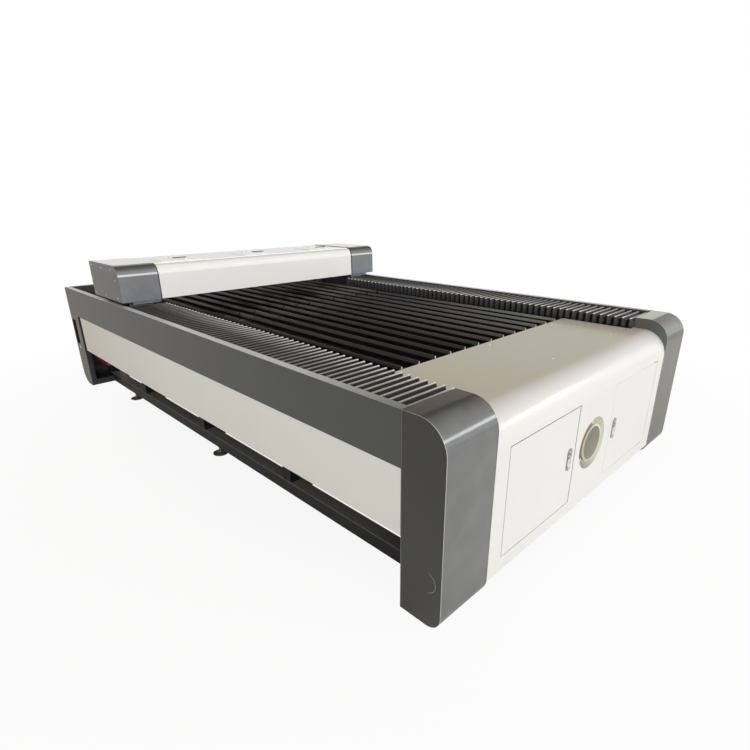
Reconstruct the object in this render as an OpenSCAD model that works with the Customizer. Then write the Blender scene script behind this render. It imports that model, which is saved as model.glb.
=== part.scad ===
// Flatbed carbon dioxide laser engraving machine: a welded base with a fixed blade bed, and a
// bridge that travels along it over bellows-covered guides. Millimetres, +Z up, floor at z = 0.
// X runs across the machine, Y runs along it from the door end to the far end, and the origin
// is the middle of the footprint.

/* [Overall] */
// Width of the machine over its side panels
machine_w = 2000; // [1900:1:2600]
// Length of the machine over its end panels
machine_l = 3540; // [3200:1:4200]
// Height of the bottom rails above the floor
ground_gap = 65; // [50:1:110]
// Height of the side beams' top above the floor, which carries the guides and the bed
beam_top_z = 640; // [600:1:760]
// Height of the caps' and side bands' top edge above the side beams
cap_rise = 144; // [120:1:160]
// Thickness of the folded sheet panels
sheet_t = 2; // [1.5:0.5:3]

/* [Front end] */
// Width of a front corner cap
cap_w = 252; // [235:1:280]
// Depth of a front corner cap
cap_d = 171; // [140:1:220]
// Radius of the cap's front top edge
cap_top_r = 105; // [60:1:130]
// Radius of the cap's front bottom edge
cap_bottom_r = 58; // [30:1:70]
// Height of the cover's top plate above the blades
deck_step = 2; // [1:1:15]
// Distance from the machine's front to the rear edge of the top plate
deck_d = 540; // [500:1:620]
// Radius of the cover's front top edge
cover_r = 120; // [60:1:125]
// Height of the cover's bottom edge above the floor
cover_bottom_z = 115; // [90:1:140]
// How far the front cover stands back from the caps
cover_set_back = 2; // [1:0.5:6]
// Width of a door
door_w = 493; // [420:1:500]
// Height of a door
door_h = 428; // [360:1:430]
// Height of the doors' bottom edge
door_z = 175; // [160:1:180]
// Distance from the machine's middle plane to a door's inner edge
door_inner_x = 170; // [150:1:175]
// Gap round a door
door_gap = 3.5; // [3.5:0.5:6]
// Diameter of the extraction opening in the cover
port_d = 230; // [200:1:240]
// Height of the extraction opening's middle
port_z = 391; // [350:1:430]
// Sideways place of the extraction opening's middle
port_x = -6; // [-20:1:20]
// Outside diameter of the extraction duct
duct_d = 150; // [120:1:160]

/* [Door locks] */
// Length of a flush lock
lock_l = 98; // [80:1:120]
// Width of a flush lock
lock_w = 34; // [26:1:36]
// Distance from a door's inner edge to the lock's middle
lock_in = 43; // [38:1:60]

/* [Side panels] */
// Height of the grey band that carries the top edge
band_h = 192; // [185:1:230]
// Width of the band's top flange
band_flange = 35; // [25:1:50]
// Height of the white skirt below the band
skirt_h = 243; // [180:1:260]
// Gap between the skirt's rear end and the rear leg
skirt_end_gap = 55; // [30:1:90]

/* [Base frame] */
// Width and height of the bottom rails, cross tubes and posts
tube_w = 60; // [50:1:70]
// Wall of the welded tubes
tube_t = 4; // [3:0.5:6]
// Distance from the machine's sides to the outer faces of the rails
rail_inset = 158; // [150:1:180]
// Distance from post to post
post_pitch = 850; // [600:10:950]
// Width of the side beams under the guides
beam_w = 140; // [130:1:150]
// Height of the side beams
beam_h = 100; // [80:1:110]
// Diameter of a levelling foot's pad
pad_d = 84; // [60:1:100]
// Depth of the rear leg panels
leg_d = 172; // [150:1:200]

/* [Bed] */
// Number of blades side by side
blade_count = 14; // [12:1:16]
// Distance from blade to blade
blade_pitch = 104.4; // [90:0.1:105]
// Height of the bars under the blades
bar_h = 50; // [40:1:60]
// Height of a blade
blade_h = 40; // [30:1:45]
// Width of a blade's foot
blade_foot = 16; // [12:1:24]
// Place along the machine of the joint between the two lengths of blade
blade_joint_y = 228; // [100:1:300]

/* [Gantry] */
// Depth of the gantry housing
gantry_d = 479; // [460:1:520]
// Height of the gantry housing
gantry_h = 207; // [200:1:230]
// Gap between the caps' top edge and the gantry's underside
gantry_gap = 24; // [15:1:40]
// Place of the gantry's front face at rest
gantry_y = 608; // [500:1:640]
// How far the gantry's ends stand in from the machine's sides
gantry_inset = 8; // [4:1:20]
// Width of a gantry end cap
gantry_end_w = 225; // [200:1:240]
// Radius of the housing's front top edge
gantry_r = 47; // [30:1:60]
// How far a carriage stands in from the housing's front and rear
carriage_inset = 32; // [20:1:50]
// Width of an access hatch
hatch_w = 260; // [200:1:400]
// Depth of an access hatch
hatch_d = 210; // [180:1:240]
// Distance between the hatches
hatch_pitch = 560; // [460:1:600]

/* [Bellows] */
// Distance from fold to fold
fold_pitch = 38.6; // [30:0.1:45]
// Depth of a fold
fold_depth = 15; // [10:1:20]
// How far the bellows' ridges lie below the caps' top edge
bellows_drop = 4; // [2:1:10]
// Height of the bellows' sides
bellows_h = 60; // [50:1:64]

/* [Laser] */
// Length of the laser tube
tube_l = 1600; // [1200:1:1640]
// Diameter of the laser tube
tube_d = 80; // [60:1:90]
// Sideways place of the laser tube's middle
tube_x = -50; // [-60:1:0]
// Length of the laser head's travel to each side
head_reach = 650; // [500:1:660]
// Height of the nozzle's tip above the blades, raised
nozzle_lift = 60; // [55:1:75]

/* [Hidden] */
$fn = 64;

white = "ivory";
grey = "dimgray";
steel = "silver";
black = "#202020";

// Clearances: run is a shaft in its bore, slip is two pieces that pass each other
run = 0.05;
slip = 0.3;
eps = 0.01;

half_w = machine_w / 2;
front_y = -machine_l / 2;
rear_y = machine_l / 2;
cap_top_z = beam_top_z + cap_rise;
cap_rear_y = front_y + cap_d;
cap_in_x = half_w - cap_w;
band_z = cap_top_z - band_h;
skirt_z = band_z - skirt_h;
deck_rear_y = front_y + deck_d;
blade_top_z = beam_top_z + bar_h + blade_h;
deck_z = blade_top_z + deck_step;
bellows_top_z = cap_top_z - bellows_drop;
gantry_z = cap_top_z + gantry_gap;
gantry_half = half_w - gantry_inset;
leg_front_y = rear_y - leg_d;
rail_face_x = half_w - rail_inset;
rail_in_x = rail_face_x - tube_w;
rail_mid_x = rail_face_x - tube_w / 2;
rail_top_z = ground_gap + tube_w;
frame_rear_y = rear_y - band_flange;
beam_out_x = rail_in_x + beam_w;
beam_z = beam_top_z - beam_h;
post_rear_in = 70;
post_front_y = cap_rear_y + tube_w / 2;
post_rear_y = rear_y - post_rear_in - tube_w / 2;
post_y = concat([for (y = [post_front_y:post_pitch:post_rear_y - post_pitch / 2]) y], [post_rear_y]);
drive_y = frame_rear_y - tube_w / 2;
foot_front_in = 10;
foot_rear_in = 510;
foot_y = [post_front_y + foot_front_in, 0, rear_y - foot_rear_in];

// A box between two opposite corners
module block(lo, hi) {
    translate(lo) cube(hi - lo);
}

// The same thing on both sides of the middle plane
module both_sides() {
    children();
    mirror([1, 0, 0]) children();
}

// A rectangle from lo to hi with its corners cut to the radii [low left, low right, top right, top left]
module rounded_rect(lo, hi, radii) {
    corners = [lo, [hi[0], lo[1]], hi, [lo[0], hi[1]]];
    inward = [[1, 1], [-1, 1], [-1, -1], [1, -1]];
    difference() {
        translate(lo) square(hi - lo);
        for (i = [0:3]) if (radii[i] > 0) {
            middle = corners[i] + radii[i] * inward[i];
            outer = corners[i] - inward[i];
            difference() {
                translate([min(middle[0], outer[0]), min(middle[1], outer[1])]) square(radii[i] + 1);
                translate(middle) circle(radii[i]);
            }
        }
    }
}

// A rounded rectangle in the YZ plane, drawn out along X from x0 to x1
module yz_slab(x0, x1, lo, hi, radii) {
    translate([x0, 0, 0]) rotate([90, 0, 90]) linear_extrude(x1 - x0) rounded_rect(lo, hi, radii);
}

// A profile in the XZ plane, drawn out along +Y from y0 to y1
module xz_slab(y0, y1) {
    translate([0, y1, 0]) rotate([90, 0, 0]) linear_extrude(y1 - y0) children();
}

// A square tube between two corners, open at both ends along the axis 0, 1 or 2
module tube_box(lo, hi, axis, wall = tube_t) {
    inset = [for (i = [0:2]) i == axis ? -1 : wall];
    difference() {
        block(lo, hi);
        block(lo + inset, hi - inset);
    }
}

// A round bar along X, Y or Z whose middle is at pos
module bar_x(pos, r, l) {
    translate(pos) rotate([0, 90, 0]) cylinder(r = r, h = l, center = true);
}

module bar_y(pos, r, l) {
    translate(pos) rotate([90, 0, 0]) cylinder(r = r, h = l, center = true);
}

module bar_z(pos, r, l) {
    translate(pos) cylinder(r = r, h = l, center = true);
}

// ---------------------------------------------------------------- welded base

// The rails on the floor side and the beams under the guides, four tubes along the machine
module long_tubes() {
    color(black) both_sides() {
        difference() {
            tube_box([rail_in_x, cap_rear_y, ground_gap], [rail_face_x, frame_rear_y, rail_top_z], 1);
            for (y = foot_y) bar_z([rail_mid_x, y, ground_gap], stud_r + slip, 2 * tube_t + 1);
        }
        tube_box([rail_in_x, cap_rear_y, beam_z], [beam_out_x, frame_rear_y, beam_top_z], 1);
    }
}

// Cross tubes between the rails, and the one at the rear that carries the drive
module cross_tubes() {
    color(black) {
        for (y = post_y)
            tube_box([-rail_in_x, y - tube_w / 2, ground_gap], [rail_in_x, y + tube_w / 2, rail_top_z], 0);
        tube_box([-rail_in_x, drive_y - tube_w / 2, beam_z], [rail_in_x, drive_y + tube_w / 2, beam_z + tube_w], 0);
    }
}

// Posts from the rails up to the beams
module posts() {
    color(black) both_sides() for (y = post_y)
        tube_box([rail_in_x, y - tube_w / 2, rail_top_z], [rail_face_x, y + tube_w / 2, beam_z], 2);
}

stud_r = 8;
pad_edge_h = 7;
pad_top_h = 14;
nut_across = 24;
nut_h = 13;

// Levelling feet: a pad on a ball, a threaded stud and its lock nut
module levelling_feet() {
    color(steel) both_sides() for (y = foot_y) translate([rail_mid_x, y, 0]) {
        rotate_extrude() polygon([
            [0, 0], [pad_d / 2 - 2, 0], [pad_d / 2, 2], [pad_d / 2, pad_edge_h],
            [stud_r + 8, pad_top_h], [stud_r + 4, pad_top_h + 6], [stud_r, pad_top_h + 8],
            [stud_r, rail_top_z - 2 * tube_t], [0, rail_top_z - 2 * tube_t]
        ]);
        translate([0, 0, ground_gap - nut_h]) difference() {
            cylinder(d = nut_across / cos(30), h = nut_h, $fn = 6);
            translate([0, 0, -1]) cylinder(r = stud_r + slip, h = nut_h + 2);
        }
    }
}

// ---------------------------------------------------------------- bed

blade_edge = 3;
blade_slope_h = 14;
blade_shoulder = 5.5;
blade_stem = 9;
blade_gap = 14;
bar_w = 40;
joint_bar_w = 90;
bar_seat = 20;
blade_front_gap = 30;
blade_rear_gap = 100;
blade_foot_z = blade_top_z - blade_h;
blade_front_y = deck_rear_y + blade_front_gap;
blade_rear_y = rear_y - blade_rear_gap;
bar_front_y = blade_front_y + bar_w / 2;
bar_rear_y = blade_rear_y - bar_w / 2;
bar_y_list = [
    bar_front_y, (2 * bar_front_y + blade_joint_y) / 3, (bar_front_y + 2 * blade_joint_y) / 3,
    (2 * blade_joint_y + bar_rear_y) / 3, (blade_joint_y + 2 * bar_rear_y) / 3, bar_rear_y
];
blade_x = [for (i = [0:blade_count - 1]) (i - (blade_count - 1) / 2) * blade_pitch];

// The bars under the blades, seated on the side beams
module slat_bars() {
    color(black) {
        for (y = bar_y_list)
            tube_box([-rail_in_x - bar_seat, y - bar_w / 2, beam_top_z],
                [rail_in_x + bar_seat, y + bar_w / 2, blade_foot_z], 0, 3);
        tube_box([-rail_in_x - bar_seat, blade_joint_y - joint_bar_w / 2, beam_top_z],
            [rail_in_x + bar_seat, blade_joint_y + joint_bar_w / 2, blade_foot_z], 0, 3);
    }
}

// One blade's section: a wedge with a narrow edge, on a stem with a flat foot
module blade_section() {
    foot = blade_foot / 2;
    edge = blade_edge / 2;
    stem = blade_stem / 2;
    head = edge + blade_shoulder;
    slope_z = blade_top_z - blade_slope_h;
    polygon([
        [-foot, blade_foot_z], [foot, blade_foot_z], [foot, blade_foot_z + 4],
        [stem, blade_foot_z + 7], [stem, slope_z - 3], [head, slope_z],
        [edge, blade_top_z], [-edge, blade_top_z], [-head, slope_z],
        [-stem, slope_z - 3], [-stem, blade_foot_z + 7], [-foot, blade_foot_z + 4]
    ]);
}

// Blades along the machine, in two lengths that meet over the wide bar
module bed_slats() {
    color(black) for (x = blade_x) translate([x, 0, 0]) {
        xz_slab(blade_front_y, blade_joint_y - blade_gap / 2) blade_section();
        xz_slab(blade_joint_y + blade_gap / 2, blade_rear_y) blade_section();
    }
}

pan_floor_z = 180;
pan_front_y = deck_rear_y - sheet_t;
pan_gap = 10;
pan_rear_y = drive_y - tube_w / 2 - pan_gap;

// The tub under the bed that catches scrap and fumes, with the duct's hole in its front wall
module scrap_pan() {
    lo = [-rail_in_x, pan_front_y, pan_floor_z];
    hi = [rail_in_x, pan_rear_y, beam_top_z];
    color(black) difference() {
        block(lo, hi);
        block(lo + [sheet_t, sheet_t, sheet_t], hi + [-sheet_t, -sheet_t, 1]);
        bar_y([port_x, pan_front_y, port_z], duct_d / 2 + slip, 4 * sheet_t);
    }
}

// ---------------------------------------------------------------- extraction

duct_t = 1.5;
duct_mouth_y = front_y + cover_set_back;
rib_r = duct_d / 2 + 7.5;
rib_w = 5;
rib_pitch = 10;
rib_count = 5;
sleeve_l = 62;
tooth_w = 9;
tooth_l = 15;
tooth_angles = [103, 205];

// The sheet duct from the tub to the opening in the cover
module exhaust_duct() {
    color(steel) difference() {
        duct_l = pan_front_y + 2 * sheet_t - duct_mouth_y;
        bar_y([port_x, duct_mouth_y + duct_l / 2, port_z], duct_d / 2, duct_l);
        bar_y([port_x, duct_mouth_y + duct_l / 2, port_z], duct_d / 2 - duct_t, duct_l + 2);
    }
}

// The ribbed collar round the duct's mouth, and the sleeve that closes the space to the cover's opening
module exhaust_collar() {
    base_r = duct_d / 2 + 4;
    collar_y = duct_mouth_y + 2 - cover_skin_y;
    collar_l = sleeve_l - collar_y;
    color(steel) translate([port_x, cover_skin_y, port_z]) rotate([-90, 0, 0]) rotate_extrude() {
        difference() {
            translate([duct_d / 2, collar_y]) square([rib_r - duct_d / 2, collar_l]);
            for (i = [0:rib_count - 1]) translate([base_r, collar_y + rib_w + i * rib_pitch])
                square([rib_r, rib_pitch - rib_w]);
        }
        translate([duct_d / 2, sleeve_l - duct_t]) square([port_d / 2 + duct_t - duct_d / 2, duct_t]);
        translate([port_d / 2, 0]) square([duct_t, sleeve_l]);
    }
}

// ---------------------------------------------------------------- side panels

lip_h = 44;
skirt_gap = 1;
skirt_return = 30;
rear_corner_r = 14;

// The grey band's section on the right side: face, top flange with its inner lip, bottom flange
module band_section() {
    difference() {
        translate([half_w - band_flange, band_z]) square([band_flange, band_h]);
        translate([half_w - band_flange + sheet_t, band_z - 1])
            square([band_flange - 2 * sheet_t, band_h - sheet_t + 1]);
        translate([half_w - band_flange - 1, band_z - 1]) square([sheet_t + 1 + eps, band_h - lip_h + 1]);
    }
    translate([beam_out_x, band_z]) square([half_w - beam_out_x, sheet_t]);
}

module band_right() {
    color(grey) intersection() {
        xz_slab(cap_rear_y, rear_y - sheet_t) band_section();
        yz_slab(0, half_w + 1, [cap_rear_y - 1, 0], [rear_y - sheet_t, cap_top_z], [0, 0, rear_corner_r, 0]);
    }
}

module band_left() {
    mirror([1, 0, 0]) band_right();
}

// The white skirt hangs from the side beam and stands a little inside the band
module skirt_right() {
    x1 = half_w - skirt_gap;
    y1 = leg_front_y - skirt_end_gap;
    color(white) difference() {
        block([beam_out_x, cap_rear_y, skirt_z + skirt_gap], [x1, y1, band_z - skirt_gap]);
        block([beam_out_x - 1, cap_rear_y - 1, skirt_z + skirt_gap + sheet_t],
            [x1 - sheet_t, y1 + 1, band_z - skirt_gap - sheet_t]);
        block([beam_out_x - 1, cap_rear_y - 1, skirt_z], [x1 - skirt_return, y1 + 1, band_z - 10]);
    }
}

module skirt_left() {
    mirror([1, 0, 0]) skirt_right();
}

// The far end closes with the same band and skirt
module rear_band() {
    color(grey) {
        intersection() {
            yz_slab(-half_w, half_w, [rear_y - sheet_t, band_z], [rear_y, cap_top_z - rear_corner_r / 3], [0, 0, 0, 0]);
            xz_slab(rear_y - sheet_t - 1, rear_y + 1)
                rounded_rect([-half_w, band_z], [half_w, cap_top_z], [0, 0, rear_corner_r, rear_corner_r]);
        }
        difference() {
            block([band_flange - half_w, rear_y - band_flange, band_z], [half_w - band_flange, rear_y, cap_top_z]);
            block([-half_w, rear_y - band_flange + sheet_t, band_z + sheet_t],
                [half_w, rear_y - sheet_t, cap_top_z - sheet_t]);
            block([-half_w, rear_y - band_flange - 1, band_z + sheet_t],
                [half_w, rear_y - band_flange + sheet_t + eps, cap_top_z - lip_h]);
            both_sides() block([beam_out_x, rear_y - band_flange - 1, band_z - 1],
                [half_w, rear_y - sheet_t, band_z + sheet_t]);
        }
    }
}

module rear_skirt() {
    y1 = rear_y - skirt_gap;
    color(white) difference() {
        block([-rail_face_x, frame_rear_y, skirt_z + skirt_gap], [rail_face_x, y1, band_z - skirt_gap]);
        block([-half_w, frame_rear_y - 1, skirt_z + skirt_gap + sheet_t],
            [half_w, y1 - sheet_t, band_z - skirt_gap - sheet_t]);
    }
}

leg_r = 100;
leg_rim = 34;
leg_sill = 44;
slot_y = [rear_y - 91, rear_y - 18];
slot_z = [375, 555];
port_hole_y = rear_y - 64;

// The rear leg panels: folded boxes round the rear post, with a window at the front and cut-outs outside
module rear_leg() {
    intersection() {
        yz_slab(rail_face_x, rail_face_x + sheet_t, [leg_front_y, ground_gap], [rear_y, beam_z - slip],
            [4, leg_r, 0, 0]);
        block([0, post_rear_y + tube_w / 2, 0], [half_w, rear_y, beam_z]);
    }
    difference() {
        yz_slab(rail_face_x, half_w, [leg_front_y, ground_gap], [rear_y, band_z], [4, leg_r, 0, 0]);
        yz_slab(rail_face_x - 1, half_w - sheet_t, [leg_front_y + sheet_t, ground_gap + sheet_t],
            [rear_y - sheet_t, band_z + 1], [2, leg_r - sheet_t, 0, 0]);
        block([rail_face_x - 1, leg_front_y - 1, ground_gap + leg_sill],
            [half_w - leg_rim, leg_front_y + 2 * sheet_t, band_z - leg_sill]);
        block([rail_face_x - 1, leg_front_y - 1, beam_z - slip],
            [beam_out_x + slip, leg_front_y + 2 * sheet_t, band_z + 1]);
        yz_slab(half_w - 2 * sheet_t, half_w + 1, [slot_y[0], slot_z[0]], [slot_y[1], slot_z[1]], [4, 4, 4, 4]);
        bar_x([half_w, port_hole_y, slot_z[0] - 28], 13, 4 * sheet_t);
        bar_x([half_w, port_hole_y - 4, 257], 6, 4 * sheet_t);
    }
}

module rear_legs() {
    color(grey) both_sides() rear_leg();
}

// ---------------------------------------------------------------- front end

cap_hole = [110, 330];
cap_hole_in = 50;
cap_hole_z = ground_gap + 90;

// A front corner cap: a folded housing with a large radius over its top front edge
module cap_right() {
    hole_x = cap_in_x + cap_hole_in;
    color(grey) difference() {
        yz_slab(cap_in_x, half_w, [front_y, ground_gap], [cap_rear_y, cap_top_z],
            [cap_bottom_r, 0, 0, cap_top_r]);
        yz_slab(cap_in_x + sheet_t, half_w - sheet_t, [front_y + sheet_t, ground_gap + sheet_t],
            [cap_rear_y - sheet_t, cap_top_z - sheet_t],
            [cap_bottom_r - sheet_t, 0, 0, cap_top_r - sheet_t]);
        block([hole_x, cap_rear_y - 2 * sheet_t, cap_hole_z],
            [hole_x + cap_hole[0], cap_rear_y + 1, cap_hole_z + cap_hole[1]]);
    }
}

module cap_left() {
    mirror([1, 0, 0]) cap_right();
}

cover_y = front_y + cover_set_back;
cover_skin_y = cover_y + sheet_t;
door_top_z = door_z + door_h;
door_outer_x = door_inner_x + door_w;
deck_tab = 40;
deck_half = cap_in_x - deck_tab;
cabinet_z = rail_top_z;
cabinet_half = cap_in_x - sheet_t;
cabinet_rear_y = deck_rear_y - sheet_t;
bay_wall_x = 158;
bay_front_y = cover_skin_y + 42;
divider_x = [-bay_wall_x, bay_wall_x - 8];
left_door_gap = door_gap + 3;
left_jamb_x = left_door_gap - door_inner_x;

// The white front cover: one sheet from the top plate over the rounded edge down the front, with a
// return beside the left door's wider gap
module front_cover() {
    color(white) difference() {
        yz_slab(-cap_in_x, cap_in_x, [cover_y, cover_bottom_z], [deck_rear_y, deck_z], [0, 0, 0, cover_r]);
        yz_slab(-half_w, half_w, [cover_skin_y, cover_bottom_z - 1], [deck_rear_y + 1, deck_z - sheet_t],
            [0, 0, 0, cover_r - sheet_t]);
        both_sides() block([deck_half, cap_rear_y, 0], [half_w, rear_y, cap_top_z]);
        both_sides() block([door_inner_x - door_gap, cover_y - 1, door_z - door_gap],
            [door_outer_x + door_gap, cover_skin_y + 1, door_top_z + door_gap]);
        block([-door_outer_x, cover_y - 1, door_z - door_gap], [left_jamb_x, cover_skin_y + 1, door_top_z + door_gap]);
        difference() {
            bar_y([port_x, cover_y, port_z], port_d / 2, 4 * sheet_t);
            for (a = tooth_angles) translate([port_x, cover_y - 3 * sheet_t, port_z]) rotate([0, -a, 0])
                translate([port_d / 2 - tooth_l, 0, -tooth_w / 2]) cube([2 * tooth_l, 6 * sheet_t, tooth_w]);
        }
    }
}

// The inner cabinet: floor, back and the walls of the two bays beside the duct
module cabinet() {
    top_z = beam_z;
    y0 = bay_front_y;
    color(black) {
        block([-cabinet_half, y0, cabinet_z], [cabinet_half, cabinet_rear_y, cabinet_z + sheet_t]);
        difference() {
            block([-cabinet_half, cabinet_rear_y - sheet_t, cabinet_z], [cabinet_half, cabinet_rear_y, top_z]);
            bar_y([port_x, cabinet_rear_y, port_z], duct_d / 2 + slip, 4 * sheet_t);
        }
        for (x = [-cabinet_half, divider_x[0], divider_x[1], cabinet_half - sheet_t])
            block([x, y0, cabinet_z], [x + sheet_t, cabinet_rear_y, top_z]);
    }
}

// ---------------------------------------------------------------- doors and locks

hinge_in = 20;
hinge_back = 10;
hinge_x = door_outer_x - hinge_in;
hinge_y = cover_y + hinge_back;
hinge_z = [door_z + 70, door_top_z - 100];
knuckle_l = 30;
knuckle_r = 5.5;
door_pin_r = 3;
door_rim = 20;
lock_x = door_inner_x + lock_in;
lock_z = door_z + door_h / 2;
lock_tub_depth = 14;
lock_rim = 3;

// A slot with round ends, standing up in the XZ plane
module upright_slot(w, l) {
    translate([-w / 2, -(l - w) / 2]) square([w, l - w]);
    for (side = [-1, 1]) translate([0, side * (l - w) / 2]) circle(d = w);
}

// The right door: a flush sheet with a stiffening rim behind it and the hinge knuckles
module door_right() {
    rim_lo = [door_inner_x + 4, cover_skin_y, door_z + 4];
    rim_hi = [door_outer_x - hinge_in - 16, cover_skin_y + door_rim, door_top_z - 4];
    color(white) difference() {
        union() {
            block([door_inner_x, cover_y, door_z], [door_outer_x, cover_skin_y, door_top_z]);
            difference() {
                block(rim_lo, rim_hi);
                block(rim_lo + [sheet_t, -1, sheet_t], rim_hi + [-sheet_t, 1, -sheet_t]);
            }
            for (z = hinge_z) {
                bar_z([hinge_x, hinge_y, z], knuckle_r, knuckle_l);
                block([hinge_x - knuckle_r, cover_skin_y, z - knuckle_l / 2],
                    [hinge_x + knuckle_r, hinge_y, z + knuckle_l / 2]);
            }
        }
        for (z = hinge_z) bar_z([hinge_x, hinge_y, z], door_pin_r + run, knuckle_l + 1);
        translate([lock_x, 0, lock_z]) xz_slab(cover_y - 1, cover_skin_y + 1)
            upright_slot(lock_w - 2 * lock_rim + 2 * slip, lock_l - 2 * lock_rim + 2 * slip);
    }
}

module door_left() {
    mirror([1, 0, 0]) door_right();
}

// Brackets on the cabinet's walls, each with the pin that a door's knuckle turns on
module door_hinges() {
    arm_t = 4;
    arm_half = 3.5;
    arm_back = 28;
    color(steel) both_sides() for (z = hinge_z) {
        z0 = z + knuckle_l / 2 + slip;
        bar_z([hinge_x, hinge_y, z + slip / 2 + arm_t / 2], door_pin_r, knuckle_l + slip + arm_t);
        block([hinge_x - arm_half, hinge_y - arm_half, z0], [hinge_x + arm_half, hinge_y + arm_back + 1, z0 + arm_t]);
        block([hinge_x - arm_half, hinge_y + arm_back, z0],
            [cabinet_half - sheet_t, bay_front_y + arm_back, z0 + arm_t]);
    }
}

paddle_pivot = [0, -28];
paddle_l = 33;
paddle_face = 3;
paddle_t = 10;
paddle_heel_r = 6;
paddle_pin_r = 1.5;
recess_w = lock_w - 10;
recess_l = lock_l - 10;
shelf_z = [24, 36];
shelf_depth = 5;
button_r = 7;
button_proud = 9;
button_h = 10;
button_stem_r = 4;
button_stem_l = 22;
button_z = 14;
lock_wall = 1.5;
lock_proud = 2;
lock_screw_r = 2.5;
lock_screw_z = -40;

// A flush lock's bowl, set into the door from outside: the middle of its face is the origin
module lock_bowl() {
    floor_y = lock_tub_depth - lock_wall;
    half = recess_w / 2 + lock_wall / 2;
    difference() {
        union() {
            xz_slab(-lock_proud, 0) upright_slot(lock_w, lock_l);
            xz_slab(-lock_proud, lock_tub_depth)
                upright_slot(lock_w - 2 * lock_rim, lock_l - 2 * lock_rim);
        }
        xz_slab(-lock_proud - 1, floor_y) upright_slot(recess_w, recess_l);
        bar_y([0, lock_tub_depth, button_z], button_stem_r + run, 4 * lock_wall);
    }
    block([-half, shelf_depth, shelf_z[0]], [half, floor_y + eps, shelf_z[1]]);
    intersection() {
        block([-half, 0, -recess_l / 2 - 1], [half, floor_y + eps, lock_screw_z + 4]);
        xz_slab(-1, floor_y + 1) upright_slot(recess_w + lock_wall, recess_l + lock_wall);
    }
    bar_y([0, -0.5, lock_screw_z], lock_screw_r, 1.5);
    bar_x([0, paddle_pivot[0], paddle_pivot[1]], paddle_pin_r, recess_w + lock_wall);
}

// The lever that lies in the bowl and tips out at its top, about the pin through its heel
module lock_paddle() {
    half = recess_w / 2 - slip;
    difference() {
        union() {
            block([-half, -paddle_face, paddle_pivot[1]], [half, paddle_t - paddle_face, paddle_pivot[1] + paddle_l]);
            bar_x([0, paddle_pivot[0], paddle_pivot[1]], paddle_heel_r, 2 * half);
        }
        bar_x([0, paddle_pivot[0], paddle_pivot[1]], paddle_pin_r + run, recess_w + 2);
    }
}

// The push button with its stem through the bowl's back
module lock_button() {
    bar_y([0, button_h / 2 - button_proud, button_z], button_r, button_h);
    bar_y([0, button_stem_l / 2, button_z], button_stem_r, button_stem_l);
}

module at_lock(side) {
    translate([side * lock_x, cover_y, lock_z]) children();
}

module lock_right() { color(steel) at_lock(1) lock_bowl(); }
module lock_left() { color(steel) at_lock(-1) lock_bowl(); }
module paddle_right() { color(steel) at_lock(1) lock_paddle(); }
module paddle_left() { color(steel) at_lock(-1) lock_paddle(); }
module button_right() { color(steel) at_lock(1) lock_button(); }
module button_left() { color(steel) at_lock(-1) lock_button(); }

// The electrics in the left bay: a back plate with the laser's supply, the controller and two drives
module control_panel() {
    back_y = cabinet_rear_y - sheet_t;
    plate_t = 3;
    x0 = -cabinet_half + 40;
    z0 = cabinet_z + 70;
    color(steel) {
        block([x0, back_y - plate_t, z0], [-bay_wall_x - 40, back_y, beam_z - 20]);
        block([x0 + 20, back_y - 160, z0 + 20], [x0 + 190, back_y - plate_t, z0 + 280]);
        block([x0 + 220, back_y - 45, z0 + 150], [x0 + 400, back_y - plate_t, z0 + 280]);
        for (i = [0:1]) block([x0 + 220 + 100 * i, back_y - 90, z0 + 20], [x0 + 290 + 100 * i, back_y - plate_t, z0 + 120]);
    }
}

// ---------------------------------------------------------------- small fasteners and wiring

screw_r = 5;
deck_screws = [[-60, 32], [520, 32], [-60, 345], [520, 345]];
joint_screws = [-28, -56];

module dome_screw(pos, r) {
    translate(pos) rotate_extrude() polygon([[0, 0], [r, 0], [r * 0.9, r * 0.3], [r * 0.5, r * 0.5], [0, r * 0.55]]);
}

// Screws on the top plate, and beside the blades on the joint bar
module panel_screws() {
    color(steel) {
        for (p = deck_screws) dome_screw([p[0], deck_rear_y - p[1], deck_z], screw_r);
        for (x = blade_x, dx = joint_screws) dome_screw([x + dx, blade_joint_y - 15, blade_foot_z], 4);
    }
}

wire_r = 4;
wire_bend = 30;
wire_x = [7 - beam_out_x, 20 - beam_out_x];
wire_z = [246, 236];
wire_y = [leg_front_y - 200, leg_front_y + 90];

// A quarter bend of a wire in the plane across the machine, from the given angle
module wire_corner(p, angle) {
    translate(p) rotate([90, 0, 90]) rotate([0, 0, angle])
        rotate_extrude(angle = 90) translate([wire_bend, 0]) circle(wire_r);
}

// Two wires that hang from the left side beam in a long loop and pass through the leg's window
module leg_wiring() {
    color("firebrick") for (i = [0:1]) {
        x = wire_x[i];
        y0 = wire_y[0] + 16 * i;
        y1 = wire_y[1] - 16 * i;
        z = wire_z[i] + wire_bend;
        bar_y([x, (y0 + y1) / 2, wire_z[i]], wire_r, y1 - y0 - 2 * wire_bend);
        wire_corner([x, y0 + wire_bend, z], 180);
        wire_corner([x, y1 - wire_bend, z], 270);
        for (y = [y0, y1]) bar_z([x, y, (z + beam_z) / 2], wire_r, beam_z - z);
    }
}

// ---------------------------------------------------------------- guides and lengthways drive

guide_in = 62;
guide_x = beam_out_x - guide_in;
guide_w = 20;
guide_h = 18;
belt_in = 40;
belt_x = rail_in_x + belt_in;
belt_w = 20;
belt_r = 16;
belt_t = 2;
belt_axis_z = beam_top_z + 26;
flange_r = 19;
flange_t = 2;
idler_in = 39;
idler_y = cap_rear_y + idler_in;
shaft_r = 10;
idler_axle_r = 6;
guide_front_gap = 14;
guide_rear_gap = 130;
guide_front_y = cap_rear_y + guide_front_gap;
guide_rear_y = rear_y - guide_rear_gap;

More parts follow.
